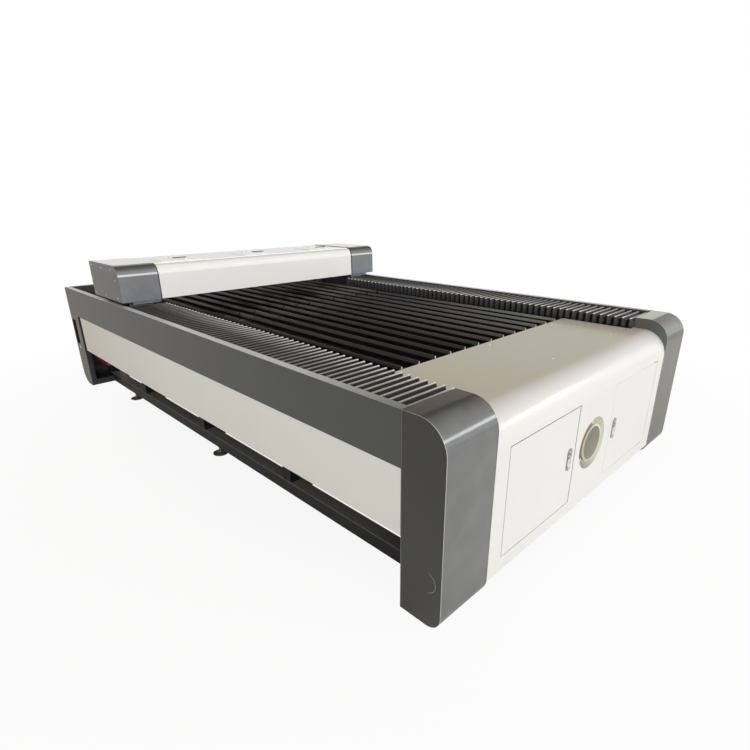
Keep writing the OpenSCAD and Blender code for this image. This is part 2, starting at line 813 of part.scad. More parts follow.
// The profile rails, waisted at the sides for the balls
module guide_rails() {
    waist = 3;
    color(steel) both_sides() xz_slab(guide_front_y, guide_rear_y) translate([guide_x, beam_top_z])
        polygon([
            [-guide_w / 2, 0], [guide_w / 2, 0], [guide_w / 2, 6], [guide_w / 2 - waist, 9],
            [guide_w / 2, 12], [guide_w / 2, guide_h], [-guide_w / 2, guide_h], [-guide_w / 2, 12],
            [waist - guide_w / 2, 9], [-guide_w / 2, 6]
        ]);
}

// A closed belt loop round two equal pulleys, in the plane of its two axes
module belt_loop(length, r, t) {
    difference() {
        union() {
            translate([0, -r - t / 2]) square([length, 2 * r + t]);
            for (x = [0, length]) translate([x, 0]) circle(r + t / 2);
        }
        translate([0, -r + t / 2]) square([length, 2 * r - t]);
        for (x = [0, length]) translate([x, 0]) circle(r - t / 2);
    }
}

module y_belts() {
    color(black) both_sides() translate([belt_x - belt_w / 2, idler_y, belt_axis_z]) rotate([90, 0, 90])
        linear_extrude(belt_w) belt_loop(drive_y - idler_y, belt_r, belt_t);
}

// A flanged pulley along X, its groove just clear of the belt
module pulley(pos, bore_r) {
    groove_r = belt_r - belt_t / 2 - slip;
    difference() {
        union() {
            bar_x(pos, groove_r, belt_w + 2 * flange_t);
            for (side = [-1, 1]) bar_x(pos + [side * (belt_w / 2 + flange_t / 2 + slip), 0, 0], flange_r, flange_t);
        }
        if (bore_r > 0) bar_x(pos, bore_r, belt_w + 10);
    }
}

bracket_t = 8;
bracket_half = 20;
bracket_rise = 16;
bracket_x = belt_x + belt_w / 2 + flange_t + 2;

// Brackets for the idlers' axles at the front, and bearing plates for the shaft at the rear
module y_bearings() {
    color(steel) both_sides() {
        block([bracket_x, idler_y - bracket_half, beam_top_z],
            [bracket_x + bracket_t, idler_y + bracket_half, belt_axis_z + bracket_rise]);
        bar_x([(belt_x - 14 + bracket_x + 1) / 2, idler_y, belt_axis_z], idler_axle_r, bracket_x + 1 - belt_x + 14);
        difference() {
            block([bracket_x, drive_y - bracket_half, beam_top_z],
                [bracket_x + bracket_t, drive_y + bracket_half, belt_axis_z + bracket_rise]);
            bar_x([bracket_x, drive_y, belt_axis_z], shaft_r + run, 40);
        }
    }
}

// The hollow-shaft gear motor in the middle of the drive shaft
module y_motor() {
    motor_r = 36;
    z0 = beam_z + tube_w;
    color(black) difference() {
        union() {
            block([-55, drive_y - 28, z0], [55, drive_y + 28, belt_axis_z + 34]);
            bar_x([115, drive_y, belt_axis_z], motor_r - 8, 120);
        }
        bar_x([60, drive_y, belt_axis_z], shaft_r + slip, 400);
    }
}

// The cross shaft with its two toothed pulleys
module y_shaft() {
    color(steel) {
        bar_x([0, drive_y, belt_axis_z], shaft_r, 2 * (bracket_x + bracket_t));
        both_sides() pulley([belt_x, drive_y, belt_axis_z], 0);
    }
}

module y_idler_right() {
    color(steel) pulley([belt_x, idler_y, belt_axis_z], idler_axle_r + run);
}

module y_idler_left() {
    mirror([1, 0, 0]) y_idler_right();
}

// ---------------------------------------------------------------- bellows

bellows_lap = 54;
bellows_in_x = rail_in_x - bellows_lap;
bellows_out_x = half_w - band_flange - 3;
bellows_foot_z = bellows_top_z - bellows_h;
bellows_t = 3;
carriage_y = gantry_y + carriage_inset;
carriage_end_y = gantry_y + gantry_d - carriage_inset;

// The U-shaped outline of one ring, drawn in by the depth d
function bellows_ring(y, d) = let (
    x0 = bellows_in_x + d, x1 = bellows_out_x - d, z0 = bellows_foot_z, z1 = bellows_top_z - d, t = bellows_t
) [
    [x0, y, z0], [x0, y, z1], [x1, y, z1], [x1, y, z0],
    [x1 - t, y, z0], [x1 - t, y, z1 - t], [x0 + t, y, z1 - t], [x0 + t, y, z0]
];

// Pleated cover from y0 to y1: rings go in and out by turns and are joined by flat faces
module bellows(y0, y1) {
    folds = round((y1 - y0) / fold_pitch);
    rings = 2 * folds + 1;
    n = 8;
    points = [for (i = [0:rings - 1]) each
        bellows_ring(y0 + (y1 - y0) * i / (rings - 1), i % 2 == 0 ? fold_depth : 0)];
    sides = [for (i = [0:rings - 2], k = [0:n - 1])
        [i * n + k, i * n + (k + 1) % n, (i + 1) * n + (k + 1) % n, (i + 1) * n + k]];
    last = (rings - 1) * n;
    polyhedron(points, concat(sides, [
        [0, 7, 6, 1], [1, 6, 5, 2], [2, 5, 4, 3],
        [last, last + 1, last + 6, last + 7], [last + 1, last + 2, last + 5, last + 6],
        [last + 2, last + 3, last + 4, last + 5]
    ]));
}

module bellows_front() {
    color(black) both_sides() bellows(cap_rear_y, carriage_y);
}

module bellows_rear() {
    color(black) both_sides() bellows(carriage_end_y, rear_y - band_flange);
}

// ---------------------------------------------------------------- gantry

gantry_top_z = gantry_z + gantry_h;
gantry_rear_y = gantry_y + gantry_d;
cover_inset = 3;
cover_top_z = gantry_top_z - cover_inset;
gantry_in_x = gantry_half - gantry_end_w;
gantry_tail_r = 14;
wall_step = cover_inset + sheet_t;
seam_gap = 7;
housing_half = gantry_in_x - seam_gap;
ledge = 5;
ledge_slope = 12;
inner_r = gantry_r + 30;
side_plate_t = 1.5;
side_plate_in = 4;
side_plate_foot = 16;

// What the sloped strip over the front plate and the curved panel above it stand back from the outline
module front_ledge(x0, x1, lo_y, hi_z, r) {
    translate([x0, lo_y + r, hi_z - r]) rotate([90, 0, 90]) linear_extrude(x1 - x0) {
        difference() {
            translate([-r - 1, 0]) square(r + 1);
            circle(r - ledge);
        }
        polygon([[-r - 1, -ledge_slope], [-r, -ledge_slope], [ledge - r, 0], [ledge - r, 1], [-r - 1, 1]]);
    }
}

plate_lift = 50;
plate_t = 15;
riser_shift = 8;
riser_in = 50;
riser_rise = 17;
riser_wall = 6;
girder_in = 42;
girder_h = 100;
girder_d = 100;
plate_z = beam_top_z + plate_lift;
riser_x = [rail_in_x + riser_shift, beam_out_x + riser_shift];
riser_y = [carriage_y + riser_in, carriage_end_y - riser_in];
riser_top_z = gantry_z + riser_rise;
girder_y = gantry_y + girder_in;
girder_rear_y = girder_y + girder_d;
girder_half = riser_x[1];

tab_x = [-0.9, -0.3, 0.3, 0.9];
end_tab_x = 1.15;
tab_w = 40;
tab_t = 4;

// An angle on the girder that reaches forward to the inside of a front panel
module girder_tab(x, front) {
    top = riser_top_z + girder_h;
    block([x - tab_w / 2, front, top], [x + tab_w / 2, girder_y + tab_w, top + tab_t]);
    block([x - tab_w / 2, front, top - 30], [x + tab_w / 2, front + tab_t, top + tab_t]);
}

// The girder across the machine that carries the head's rail, with tabs that hold the housing and ends
module gantry_beam() {
    front = gantry_y + sheet_t;
    color(steel) {
        tube_box([-girder_half, girder_y, riser_top_z], [girder_half, girder_rear_y, riser_top_z + girder_h], 0, 5);
        for (x = gantry_in_x * tab_x) girder_tab(x, front + cover_inset);
        both_sides() girder_tab(gantry_in_x * end_tab_x, front);
    }
}

clamp_l = 60;
saddle_in = 14;
saddle_clear = 6;

// A carriage on each guide: base plate, riser, the saddle plate under the end cap, end plates for the
// bellows and the belt clamp
module carriages() {
    clamp_x = [belt_x - belt_w / 2 - 4, belt_x + belt_w / 2 + 4];
    run_z = belt_axis_z + belt_r;
    clamp_y = (carriage_y + carriage_end_y) / 2;
    color(steel) both_sides() {
        block([bellows_in_x + 32, carriage_y, plate_z], [bellows_out_x - 22, carriage_end_y, plate_z + plate_t]);
        tube_box([riser_x[0], riser_y[0], plate_z + plate_t], [riser_x[1], riser_y[1], riser_top_z], 2, riser_wall);
        block([riser_x[0], riser_y[0], riser_top_z - 8], [riser_x[1], riser_y[1], riser_top_z]);
        difference() {
            block([gantry_in_x, gantry_y + saddle_in, cap_top_z + saddle_clear],
                [riser_x[1], gantry_rear_y - saddle_in, gantry_z]);
            block([riser_x[0] + riser_wall, riser_y[0] + riser_wall, cap_top_z],
                [riser_x[1] - riser_wall, riser_y[1] - riser_wall, gantry_z + 1]);
        }
        for (y = [carriage_y, carriage_end_y - 3])
            block([bellows_in_x + 10, y, plate_z + plate_t], [bellows_out_x - 10, y + 3, bellows_top_z - 4]);
        difference() {
            block([clamp_x[0], clamp_y - clamp_l / 2, run_z - 8], [clamp_x[1], clamp_y + clamp_l / 2, plate_z]);
            block([belt_x - belt_w / 2 - slip, clamp_y - clamp_l, run_z - belt_t / 2 - slip],
                [clamp_x[1] + 1, clamp_y + clamp_l, run_z + belt_t / 2 + slip]);
        }
    }
}

block_w = 44;
block_l = 77;

// Four bearing blocks, two on each guide, with the spacer that brings them up to the plate
module guide_blocks() {
    color(steel) both_sides() for (y = [carriage_y + 10, carriage_end_y - 10 - block_l])
        difference() {
            block([guide_x - block_w / 2, y, beam_top_z + 4], [guide_x + block_w / 2, y + block_l, plate_z]);
            block([guide_x - guide_w / 2 - slip, y - 1, beam_top_z],
                [guide_x + guide_w / 2 + slip, y + block_l + 1, beam_top_z + guide_h + slip]);
        }
}

hatch_x = [-hatch_pitch - 10, -5, hatch_pitch - 10];
hatch_in = 80;
hatch_front_y = gantry_y + hatch_in;
hatch_rear_y = hatch_front_y + hatch_d;
hatch_lap = 12;
hatch_axis = [hatch_rear_y + 4, cover_top_z + 5];
hatch_knuckle_r = 3;
hatch_hinge_l = 60;
hatch_pin_r = 1.5;
hatch_t = 2;

// The white housing between the end caps, open below, with the three hatch openings
module gantry_cover() {
    lo = [gantry_y + cover_inset, gantry_z];
    hi = [gantry_rear_y - cover_inset, cover_top_z];
    color(white) {
        difference() {
            yz_slab(-housing_half, housing_half, lo, hi, [0, 0, gantry_tail_r, gantry_r]);
            yz_slab(-gantry_half, gantry_half, lo + [sheet_t, -1], hi - [sheet_t, sheet_t],
                [0, 0, gantry_tail_r - sheet_t, inner_r]);
            front_ledge(-gantry_half, gantry_half, lo[0], hi[1], gantry_r);
            for (x = hatch_x)
                block([x - hatch_w / 2 + hatch_lap, hatch_front_y + hatch_lap, cover_top_z - 2 * sheet_t],
                    [x + hatch_w / 2 - hatch_lap, hatch_rear_y - hatch_lap, cover_top_z + 1]);
        }
        for (x = hatch_x) {
            bar_x([x, hatch_axis[0], hatch_axis[1]], hatch_pin_r, hatch_hinge_l);
            bar_x([x, hatch_axis[0], hatch_axis[1]], hatch_knuckle_r, hatch_hinge_l / 3);
            block([x - hatch_hinge_l / 6, hatch_axis[0], cover_top_z],
                [x + hatch_hinge_l / 6, hatch_axis[0] + 14, hatch_axis[1]]);
        }
    }
}

// A grey end cap: a shell a little larger than the housing, stepped in where the two meet, with a side plate
module gantry_end_right() {
    lo = [gantry_y, gantry_z];
    hi = [gantry_rear_y, gantry_top_z];
    r = gantry_r + cover_inset;
    tail = gantry_tail_r + cover_inset;
    inset = side_plate_in;
    color(grey) {
        difference() {
            yz_slab(gantry_in_x, gantry_half, lo, hi, [0, 0, tail, r]);
            yz_slab(gantry_in_x + sheet_t, gantry_half - sheet_t, lo + [sheet_t, -1], hi - [sheet_t, sheet_t],
                [0, 0, tail - sheet_t, inner_r]);
            yz_slab(gantry_in_x - 1, gantry_in_x + 2 * sheet_t, lo + [wall_step, -1], hi - [wall_step, wall_step],
                [0, 0, tail - wall_step, inner_r - wall_step]);
            front_ledge(gantry_in_x - 1, gantry_half + 1, lo[0], hi[1], r);
        }
        yz_slab(gantry_half, gantry_half + side_plate_t, lo + [inset, side_plate_foot], hi - [inset, inset],
            [2, 2, tail - inset, r - inset]);
    }
}

module gantry_end_left() {
    mirror([1, 0, 0]) gantry_end_right();
}

handle_l = 90;
handle_h = 16;
handle_r = 4;
knuckle_gap = 0.5;

// A hatch lid at the middle, with its bow handle at the front and its knuckles at the rear
module hatch(x) {
    handle_y = hatch_front_y + 42;
    top = cover_top_z + hatch_t;
    outer_l = hatch_hinge_l / 3 - knuckle_gap;
    color(white) difference() {
        union() {
            translate([0, 0, cover_top_z]) linear_extrude(hatch_t)
                rounded_rect([x - hatch_w / 2, hatch_front_y], [x + hatch_w / 2, hatch_rear_y], [12, 12, 12, 12]);
            for (side = [-1, 1]) translate([side * (hatch_hinge_l / 3 + knuckle_gap / 2), 0, 0]) {
                bar_x([x, hatch_axis[0], hatch_axis[1]], hatch_knuckle_r, outer_l);
                block([x - outer_l / 2, hatch_rear_y - 14, cover_top_z + 1],
                    [x + outer_l / 2, hatch_axis[0], cover_top_z + 4]);
            }
        }
        bar_x([x, hatch_axis[0], hatch_axis[1]], hatch_pin_r + run, hatch_hinge_l + 2);
    }
    color(black) {
        for (side = [-1, 1]) bar_z([x + side * (handle_l / 2 - handle_r), handle_y, top + handle_h / 2], handle_r, handle_h);
        bar_x([x, handle_y, top + handle_h - handle_r], handle_r - 0.5, handle_l - 2 * handle_r);
    }
}

module hatch_left() { hatch(hatch_x[0]); }
module hatch_middle() { hatch(hatch_x[1]); }
module hatch_right() { hatch(hatch_x[2]); }

// ---------------------------------------------------------------- laser and optics

optic_rise = 92;
head_out = 61;
laser_in = 125;
optic_z = gantry_z + optic_rise;
head_y = girder_rear_y + head_out;
laser_y = gantry_rear_y - laser_in;
shelf_y = [laser_y - 55, riser_y[1] - 5];
shelf_t = 3;
shelf_lip = 15;
saddle_x = [tube_x - 430, tube_x + 470];
neck_l = 40;

// The sealed glass tube with a narrower neck at each end
module laser_tube() {
    color("lightcyan") {
        bar_x([tube_x, laser_y, optic_z], tube_d / 2, tube_l);
        for (side = [-1, 1]) bar_x([tube_x + side * (tube_l + neck_l) / 2, laser_y, optic_z], tube_d / 4, neck_l);
    }
}

// The shelf between the risers, with two saddles under the tube
module tube_holders() {
    r = tube_d / 2 + slip;
    color(black) {
        difference() {
            block([-girder_half, shelf_y[0], riser_top_z], [girder_half, shelf_y[1], riser_top_z + shelf_lip]);
            block([-girder_half - 1, shelf_y[0] + shelf_t, riser_top_z + shelf_t],
                [girder_half + 1, shelf_y[1] - shelf_t, riser_top_z + shelf_lip + 1]);
        }
        for (x = saddle_x) difference() {
            block([x - 15, shelf_y[0] + 8, riser_top_z + shelf_t], [x + 15, shelf_y[1] - 8, optic_z]);
            bar_x([x, laser_y, optic_z], r, 40);
        }
    }
}

mirror_r = 15;
mirror_x = riser_x[0] + 45;

// Two corner mirrors on posts: the first behind the tube's end, the second in line with the head
module mirror_mounts() {
    color(steel) for (m = [[laser_y, 45, riser_top_z + shelf_t], [head_y, -135, riser_top_z]]) {
        translate([mirror_x, m[0], 0]) {
            block([-10, -10, m[2]], [10, 10, optic_z - 24]);
            translate([0, 0, optic_z]) rotate([0, 0, m[1]]) {
                translate([0, 8, 0]) block([-24, 0, -26], [24, 8, 26]);
                bar_y([0, 4, 0], mirror_r, 8);
            }
        }
    }
}

x_rail_rise = 70;
x_rail_w = 15;
x_belt_rise = 30;
x_belt_out = 18;
x_belt_r = 14;
x_belt_t = 2;
x_belt_w = 10;
x_pulley_past = 95;
x_rail_z = riser_top_z + x_rail_rise;
x_belt_z = riser_top_z + x_belt_rise;
x_belt_y = girder_rear_y + x_belt_out;
x_pulley_x = head_reach + x_pulley_past;

// The head's guide on the girder's rear face
module x_rail() {
    half = x_rail_w / 2;
    color(steel) translate([0, girder_rear_y, 0]) rotate([90, 0, 90]) translate([0, 0, -x_pulley_x])
        linear_extrude(2 * x_pulley_x) polygon([
            [0, x_rail_z - half], [5, x_rail_z - half], [7, x_rail_z + 2 - half], [9, x_rail_z - half],
            [x_rail_w, x_rail_z - half], [x_rail_w, x_rail_z + half], [9, x_rail_z + half], [7, x_rail_z - 2 + half],
            [5, x_rail_z + half], [0, x_rail_z + half]
        ]);
}

module x_belt() {
    color(black) translate([-x_pulley_x, x_belt_y + x_belt_w / 2, x_belt_z]) rotate([90, 0, 0])
        linear_extrude(x_belt_w) belt_loop(2 * x_pulley_x, x_belt_r, x_belt_t);
}

x_flange_r = 16.5;
motor_w = 57;
motor_l = 70;
x_shaft_r = 4;
x_motor_y = x_belt_y + 16;

// The head's stepper motor and its bracket at the left end, the idler's post at the right end
module x_motor() {
    x = -x_pulley_x;
    color(black) {
        difference() {
            block([x - motor_w / 2, x_motor_y, x_belt_z - motor_w / 2], [x + motor_w / 2, x_motor_y + motor_l, x_belt_z + motor_w / 2]);
            bar_y([x, x_motor_y, x_belt_z], x_shaft_r + run, 40);
        }
        block([x - motor_w / 2 - 8, girder_rear_y, x_belt_z - motor_w / 2], [x - motor_w / 2, x_motor_y + 20, x_belt_z + motor_w / 2]);
        bar_y([-x, (girder_rear_y + x_belt_y + 9) / 2, x_belt_z], x_shaft_r, x_belt_y + 9 - girder_rear_y);
    }
}

// A small flanged pulley along Y
module small_pulley(x, bore_r) {
    groove_r = x_belt_r - x_belt_t / 2 - slip;
    pos = [x, x_belt_y, x_belt_z];
    difference() {
        union() {
            bar_y(pos, groove_r, x_belt_w + 4);
            for (side = [-1, 1]) bar_y(pos + [0, side * (x_belt_w / 2 + 1 + slip), 0], x_flange_r, 2);
        }
        if (bore_r > 0) bar_y(pos, bore_r, x_belt_w + 10);
    }
}

module x_drive_pulley() {
    color(steel) {
        small_pulley(-x_pulley_x, 0);
        bar_y([-x_pulley_x, x_motor_y + 3, x_belt_z], x_shaft_r, 26);
    }
}

module x_idler_pulley() {
    color(steel) small_pulley(x_pulley_x, x_shaft_r + run);
}

head_w = 100;
head_plate_y = girder_rear_y + 28;
focus_r = 17;
focus_travel = 50;
nozzle_z = blade_top_z + nozzle_lift;
mirror_box = 44;

// The head's slide plate with its bearing block, belt clamp, last mirror and the focus tube's guide
module head_carriage() {
    run_z = x_belt_z + x_belt_r;
    guide_z = [nozzle_z + 32, optic_z - mirror_box / 2];
    color(steel) difference() {
        union() {
            block([-head_w / 2, head_plate_y, x_belt_z - 22], [head_w / 2, head_plate_y + 8, x_rail_z + 30]);
            difference() {
                block([-35, girder_rear_y + 3, x_rail_z - 22], [35, head_plate_y, x_rail_z + 22]);
                block([-36, girder_rear_y, x_rail_z - x_rail_w / 2 - slip],
                    [36, girder_rear_y + x_rail_w + slip, x_rail_z + x_rail_w / 2 + slip]);
            }
            difference() {
                block([-20, x_belt_y - x_belt_w / 2 - 4, run_z - 6], [20, head_plate_y, run_z + 6]);
                block([-21, x_belt_y - x_belt_w / 2 - slip, run_z - x_belt_t / 2 - slip],
                    [21, x_belt_y + x_belt_w / 2 + slip, run_z + x_belt_t / 2 + slip]);
            }
            block([-mirror_box / 2, head_plate_y + 8, optic_z - mirror_box / 2],
                [mirror_box / 2, head_y + mirror_box / 2, optic_z + mirror_box / 2]);
            block([-mirror_box / 2, head_plate_y + 8, guide_z[0]], [mirror_box / 2, head_y + mirror_box / 2, guide_z[1]]);
        }
        bar_z([0, head_y, (guide_z[0] + optic_z) / 2 - 5], focus_r + run, optic_z + 10 - guide_z[0]);
        bar_x([0, head_y, optic_z], 10, mirror_box + 2);
    }
}

// The focusing tube that slides in the head, with the lens barrel and the nozzle below
module focus_tube() {
    top_z = optic_z - 12;
    color("goldenrod") difference() {
        union() {
            bar_z([0, head_y, (top_z + nozzle_z + 26) / 2], focus_r, top_z - nozzle_z - 26);
            translate([0, head_y, nozzle_z + 22]) cylinder(r = focus_r + 3, h = 8);
            translate([0, head_y, nozzle_z]) cylinder(r1 = 4, r2 = focus_r - 2, h = 22);
        }
        bar_z([0, head_y, (top_z + nozzle_z) / 2], 3, top_z - nozzle_z + 2);
    }
}

// ---------------------------------------------------------------- the model

long_tubes();
cross_tubes();
posts();
levelling_feet();
slat_bars();
bed_slats();
scrap_pan();
exhaust_duct();
exhaust_collar();
band_left();
band_right();
skirt_left();
skirt_right();
cap_left();
cap_right();
front_cover();
cabinet();
control_panel();
door_hinges();
panel_screws();
rear_legs();
leg_wiring();
rear_band();
rear_skirt();
guide_rails();
y_belts();
y_bearings();
y_motor();
y_shaft();
y_idler_left();
y_idler_right();
bellows_front();
bellows_rear();
door_left();
door_right();
lock_left();
lock_right();
paddle_left();
paddle_right();
button_left();
button_right();
gantry_beam();
gantry_cover();
gantry_end_left();
gantry_end_right();
carriages();
guide_blocks();
laser_tube();
tube_holders();
mirror_mounts();
x_rail();
x_belt();
x_motor();
x_drive_pulley();
x_idler_pulley();
hatch_left();
hatch_middle();
hatch_right();
head_carriage();
focus_tube();
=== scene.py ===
"""Finishes and fittings for a flatbed laser engraving machine, laid over its fixed frame."""

import math

import bmesh
import bpy
from bpy.props import FloatProperty, FloatVectorProperty, PointerProperty
from bpy.types import Operator, Panel, PropertyGroup
from mathutils import Matrix, Vector


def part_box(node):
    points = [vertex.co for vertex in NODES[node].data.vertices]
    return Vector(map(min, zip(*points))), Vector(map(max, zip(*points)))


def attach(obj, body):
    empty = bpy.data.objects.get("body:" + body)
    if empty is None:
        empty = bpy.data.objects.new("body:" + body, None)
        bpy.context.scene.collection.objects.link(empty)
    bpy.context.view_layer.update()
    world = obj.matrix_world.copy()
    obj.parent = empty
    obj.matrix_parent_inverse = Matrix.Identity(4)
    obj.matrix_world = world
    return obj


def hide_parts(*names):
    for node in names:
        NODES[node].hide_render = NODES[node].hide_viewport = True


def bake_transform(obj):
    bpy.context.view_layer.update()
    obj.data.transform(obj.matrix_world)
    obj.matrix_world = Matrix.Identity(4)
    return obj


bl_info = {
    "name": "Laser Bed Finishes",
    "version": (1, 0, 0),
    "blender": (4, 5, 0),
    "location": "View3D > Sidebar > Laser Bed",
    "description": "Finishes and fittings for a flatbed laser engraving machine",
    "category": "Object",
}

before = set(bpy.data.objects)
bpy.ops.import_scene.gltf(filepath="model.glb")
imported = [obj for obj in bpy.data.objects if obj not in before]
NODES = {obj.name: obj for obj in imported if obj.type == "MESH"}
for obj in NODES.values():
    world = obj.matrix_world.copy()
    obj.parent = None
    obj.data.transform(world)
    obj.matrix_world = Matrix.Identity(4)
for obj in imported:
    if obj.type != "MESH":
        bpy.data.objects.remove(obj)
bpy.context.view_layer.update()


# ------------------------------------------------------------------ sizes and colours


def tone(r, g, b):
    """A screen colour of 0 to 255 as the linear colour that a shader takes."""
    def linear(v):
        v /= 255
        return v / 12.92 if v <= 0.04045 else ((v + 0.055) / 1.055) ** 2.4
    return (linear(r), linear(g), linear(b))


def scaled(rgb, share):
    """A colour made darker or lighter by a share."""
    return tuple(c * share for c in rgb)


def colour(label, text, rgb):
    return FloatVectorProperty(name=label, description=text, default=tone(*rgb), subtype="COLOR", size=3,
        min=0, max=1)


def length(label, text, value):
    return FloatProperty(name=label, description=text, default=value, min=0, subtype="DISTANCE",
        unit="LENGTH")


def angle(label, text, degrees):
    return FloatProperty(name=label, description=text, default=math.radians(degrees), subtype="ANGLE",
        unit="ROTATION")


def level(label, text, value):
    return FloatProperty(name=label, description=text, default=value, min=0)


class LaserPaint(PropertyGroup):
    ivory: colour("Ivory", "Paint of the cover and the doors", (240, 240, 237))
    graphite: colour("Graphite", "Powder coat of the side and rear bands", (77, 79, 79))
    cap_grey: colour("Cap grey", "Powder coat of the two front caps", (25, 27, 27))
    frame_black: colour("Frame black", "Enamel of the welded frame", (30, 31, 29))
    blade_black: colour("Blade black", "Anodising of the bed's blades", (15, 15, 16))
    duct: colour("Duct", "Painted sheet of the extraction duct", (206, 205, 194))
    cloth: colour("Cloth", "Coated cloth of the bellows", (13, 13, 14))
    dust: colour("Dust", "Fine dust that settles on what faces up", (190, 181, 164))


class LaserSizes(PropertyGroup):
    pleat: length("Pleat", "Distance from crest to crest of the bellows", 0.0386)
    pleat_depth: length("Pleat depth", "How far the valleys of the bellows lie below the crests", 0.015)
    crest: length("Crest", "Width of a pleat's pressed crest", 0.0055)
    pleat_corner: length("Pleat corner", "Cut across a pleat's upper corners", 0.007)
    cloth_wall: length("Cloth wall", "Thickness of the bellows cloth", 0.0012)
    side_screw: length("Side screw", "Head radius of the gantry's side screws", 0.0032)
    screw_rise: length("Screw rise", "Height of the side screws' heads", 0.002)
    ledge_foot: length("Ledge foot", "Height of the foot of the gantry's ledge", 0.953)
    ledge_top: length("Ledge top", "Height of the top of the gantry's ledge", 0.9655)
    cover_wall: length("Cover wall", "Sheet of the front cover", 0.002)
    door_gap: length("Door gap", "Distance from a door's edge to the cover's", 0.0035)
    rebate: length("Rebate", "Width of the strips behind the door gaps, past the gap", 0.008)
    rebate_wall: length("Rebate wall", "Thickness of the strips behind the door gaps", 0.0012)
    rebate_tuck: length("Rebate tuck", "How far the strips reach in behind a door's edge", 0.003)
    hinge_room: length("Hinge room", "How far the strips' arms stop short of the hinges' edge", 0.05)
    clearance: length("Clearance", "Gap left between a fitting and the sheet beside it", 0.0001)
    bush: length("Bush", "Radius of the bushes in the rear legs' cable holes", 0.0128)
    bush_wall: length("Bush wall", "Wall of those bushes", 0.0032)
    bush_depth: length("Bush depth", "Length of those bushes", 0.012)
    bush_recess: length("Bush recess", "How far the bushes lie below the legs' outer face", 0.0006)
    bore: length("Bore", "Radius of the laser tube's inner tube", 0.009)
    coil: length("Coil", "Radius of the gas return's turns", 0.026)
    coil_pipe: length("Coil pipe", "Radius of the gas return's pipe", 0.0028)
    terminal: length("Terminal", "Distance from one terminal block to the next", 0.0125)


class LaserStage(PropertyGroup):
    floor: colour("Floor", "Colour of the floor", (250, 250, 249))
    key_level: level("Key level", "Strength of the wide main light", 1.29)
    key_height: angle("Key height", "Angle of the main light above the floor", 17)
    key_heading: angle("Key heading", "Angle of the main light off the door end, to the left", 22)
    key_spread: angle("Key spread", "Angle that the main light fills", 50)
    window_level: level("Window level", "Power of the low, long window that the coats reflect", 42)
    horizon_level: level("Horizon level", "Level of the light from all round", 0.91)
    ceiling: colour("Ceiling", "Light from the hall's dim side and from above", (96, 86, 66))
    bright_side: colour("Bright side", "Light from high up on the door end's side", (198, 196, 190))


# ------------------------------------------------------------------ node trees


def add_node(tree, kind, values=None, **settings):
    """A shader node with its settings and its unlinked inputs."""
    n = tree.nodes.new(kind)
    for key, value in settings.items():
        setattr(n, key, value)
    for key, value in (values or {}).items():
        n.inputs[key].default_value = value
    return n


def join(tree, *pairs):
    for a, b in pairs:
        tree.links.new(a, b)


def feed(tree, slot, value):
    """Links a socket to the slot, or sets the slot to a number or a colour."""
    if isinstance(value, bpy.types.NodeSocket):
        tree.links.new(value, slot)
    elif isinstance(value, (int, float)):
        slot.default_value = value
    else:
        slot.default_value = (*tuple(value)[:3], 1)


def new_group(name, inputs, *outputs):
    """A node group with float inputs {name: default} and float outputs."""
    tree = bpy.data.node_groups.new(name, "ShaderNodeTree")
    for label, value in inputs.items():
        s = tree.interface.new_socket(name=label, in_out="INPUT", socket_type="NodeSocketFloat")
        s.default_value = value
    for label in outputs:
        tree.interface.new_socket(name=label, in_out="OUTPUT", socket_type="NodeSocketFloat")
    return tree, tree.nodes.new("NodeGroupInput").outputs, tree.nodes.new("NodeGroupOutput").inputs


def ramp_mask(tree, value, low, high):
    """The value stretched so that low gives 0 and high gives 1."""
    n = add_node(tree, "ShaderNodeMapRange")
    for label, given in (("Value", value), ("From Min", low), ("From Max", high)):
        feed(tree, n.inputs[label], given)
    return n.outputs["Result"]


def stripe_mask(tree, value, low, high, soft=0.0002):
    """1 where the value lies between low and high."""
    return product(tree, ramp_mask(tree, value, low - soft, low), ramp_mask(tree, value, high + soft, high))


def calc(tree, operation, *values):
    """The result of one sum; each value is a socket or a number."""
    n = add_node(tree, "ShaderNodeMath", operation=operation)
    for slot, value in zip(n.inputs, values):
        feed(tree, slot, value)
    return n.outputs[0]


def product(tree, first, *others):
    """All the values multiplied together."""
    for value in others:
        first = calc(tree, "MULTIPLY", first, value)
    return first


def span(tree, a, b):
    """The length of a line that runs a in one direction and b square to it."""
    flat = tree.nodes.new("ShaderNodeCombineXYZ")
    far = add_node(tree, "ShaderNodeVectorMath", operation="LENGTH")
    join(tree, (a, flat.inputs[0]), (b, flat.inputs[1]), (flat.outputs[0], far.inputs[0]))
    return far.outputs["Value"]


def mix_colours(tree, factor, a, b):
    n = add_node(tree, "ShaderNodeMix", data_type="RGBA")
    for slot, value in ((0, factor), (6, a), (7, b)):
        feed(tree, n.inputs[slot], value)
    return n.outputs[2]


def wash(tree, look, mask, rgb, amount=1.0):
    """The look with a colour laid over it where the mask is high, by the amount at most."""
    return mix_colours(tree, product(tree, mask, amount), look, rgb)


def mix_values(tree, factor, a, b):
    n = add_node(tree, "ShaderNodeMix", data_type="FLOAT")
    for slot, value in ((0, factor), (2, a), (3, b)):
        feed(tree, n.inputs[slot], value)
    return n.outputs[0]


def coordinates(tree, kind="Object"):
    """The X, Y and Z of the Object coordinates, or of another kind such as the Normal."""
    split = tree.nodes.new("ShaderNodeSeparateXYZ")
    join(tree, (tree.nodes.new("ShaderNodeTexCoord").outputs[kind], split.inputs[0]))
    return split.outputs


def distance_across(tree):
    """How far a point lies from the middle plane, on either side."""
    return calc(tree, "ABSOLUTE", coordinates(tree)["X"])


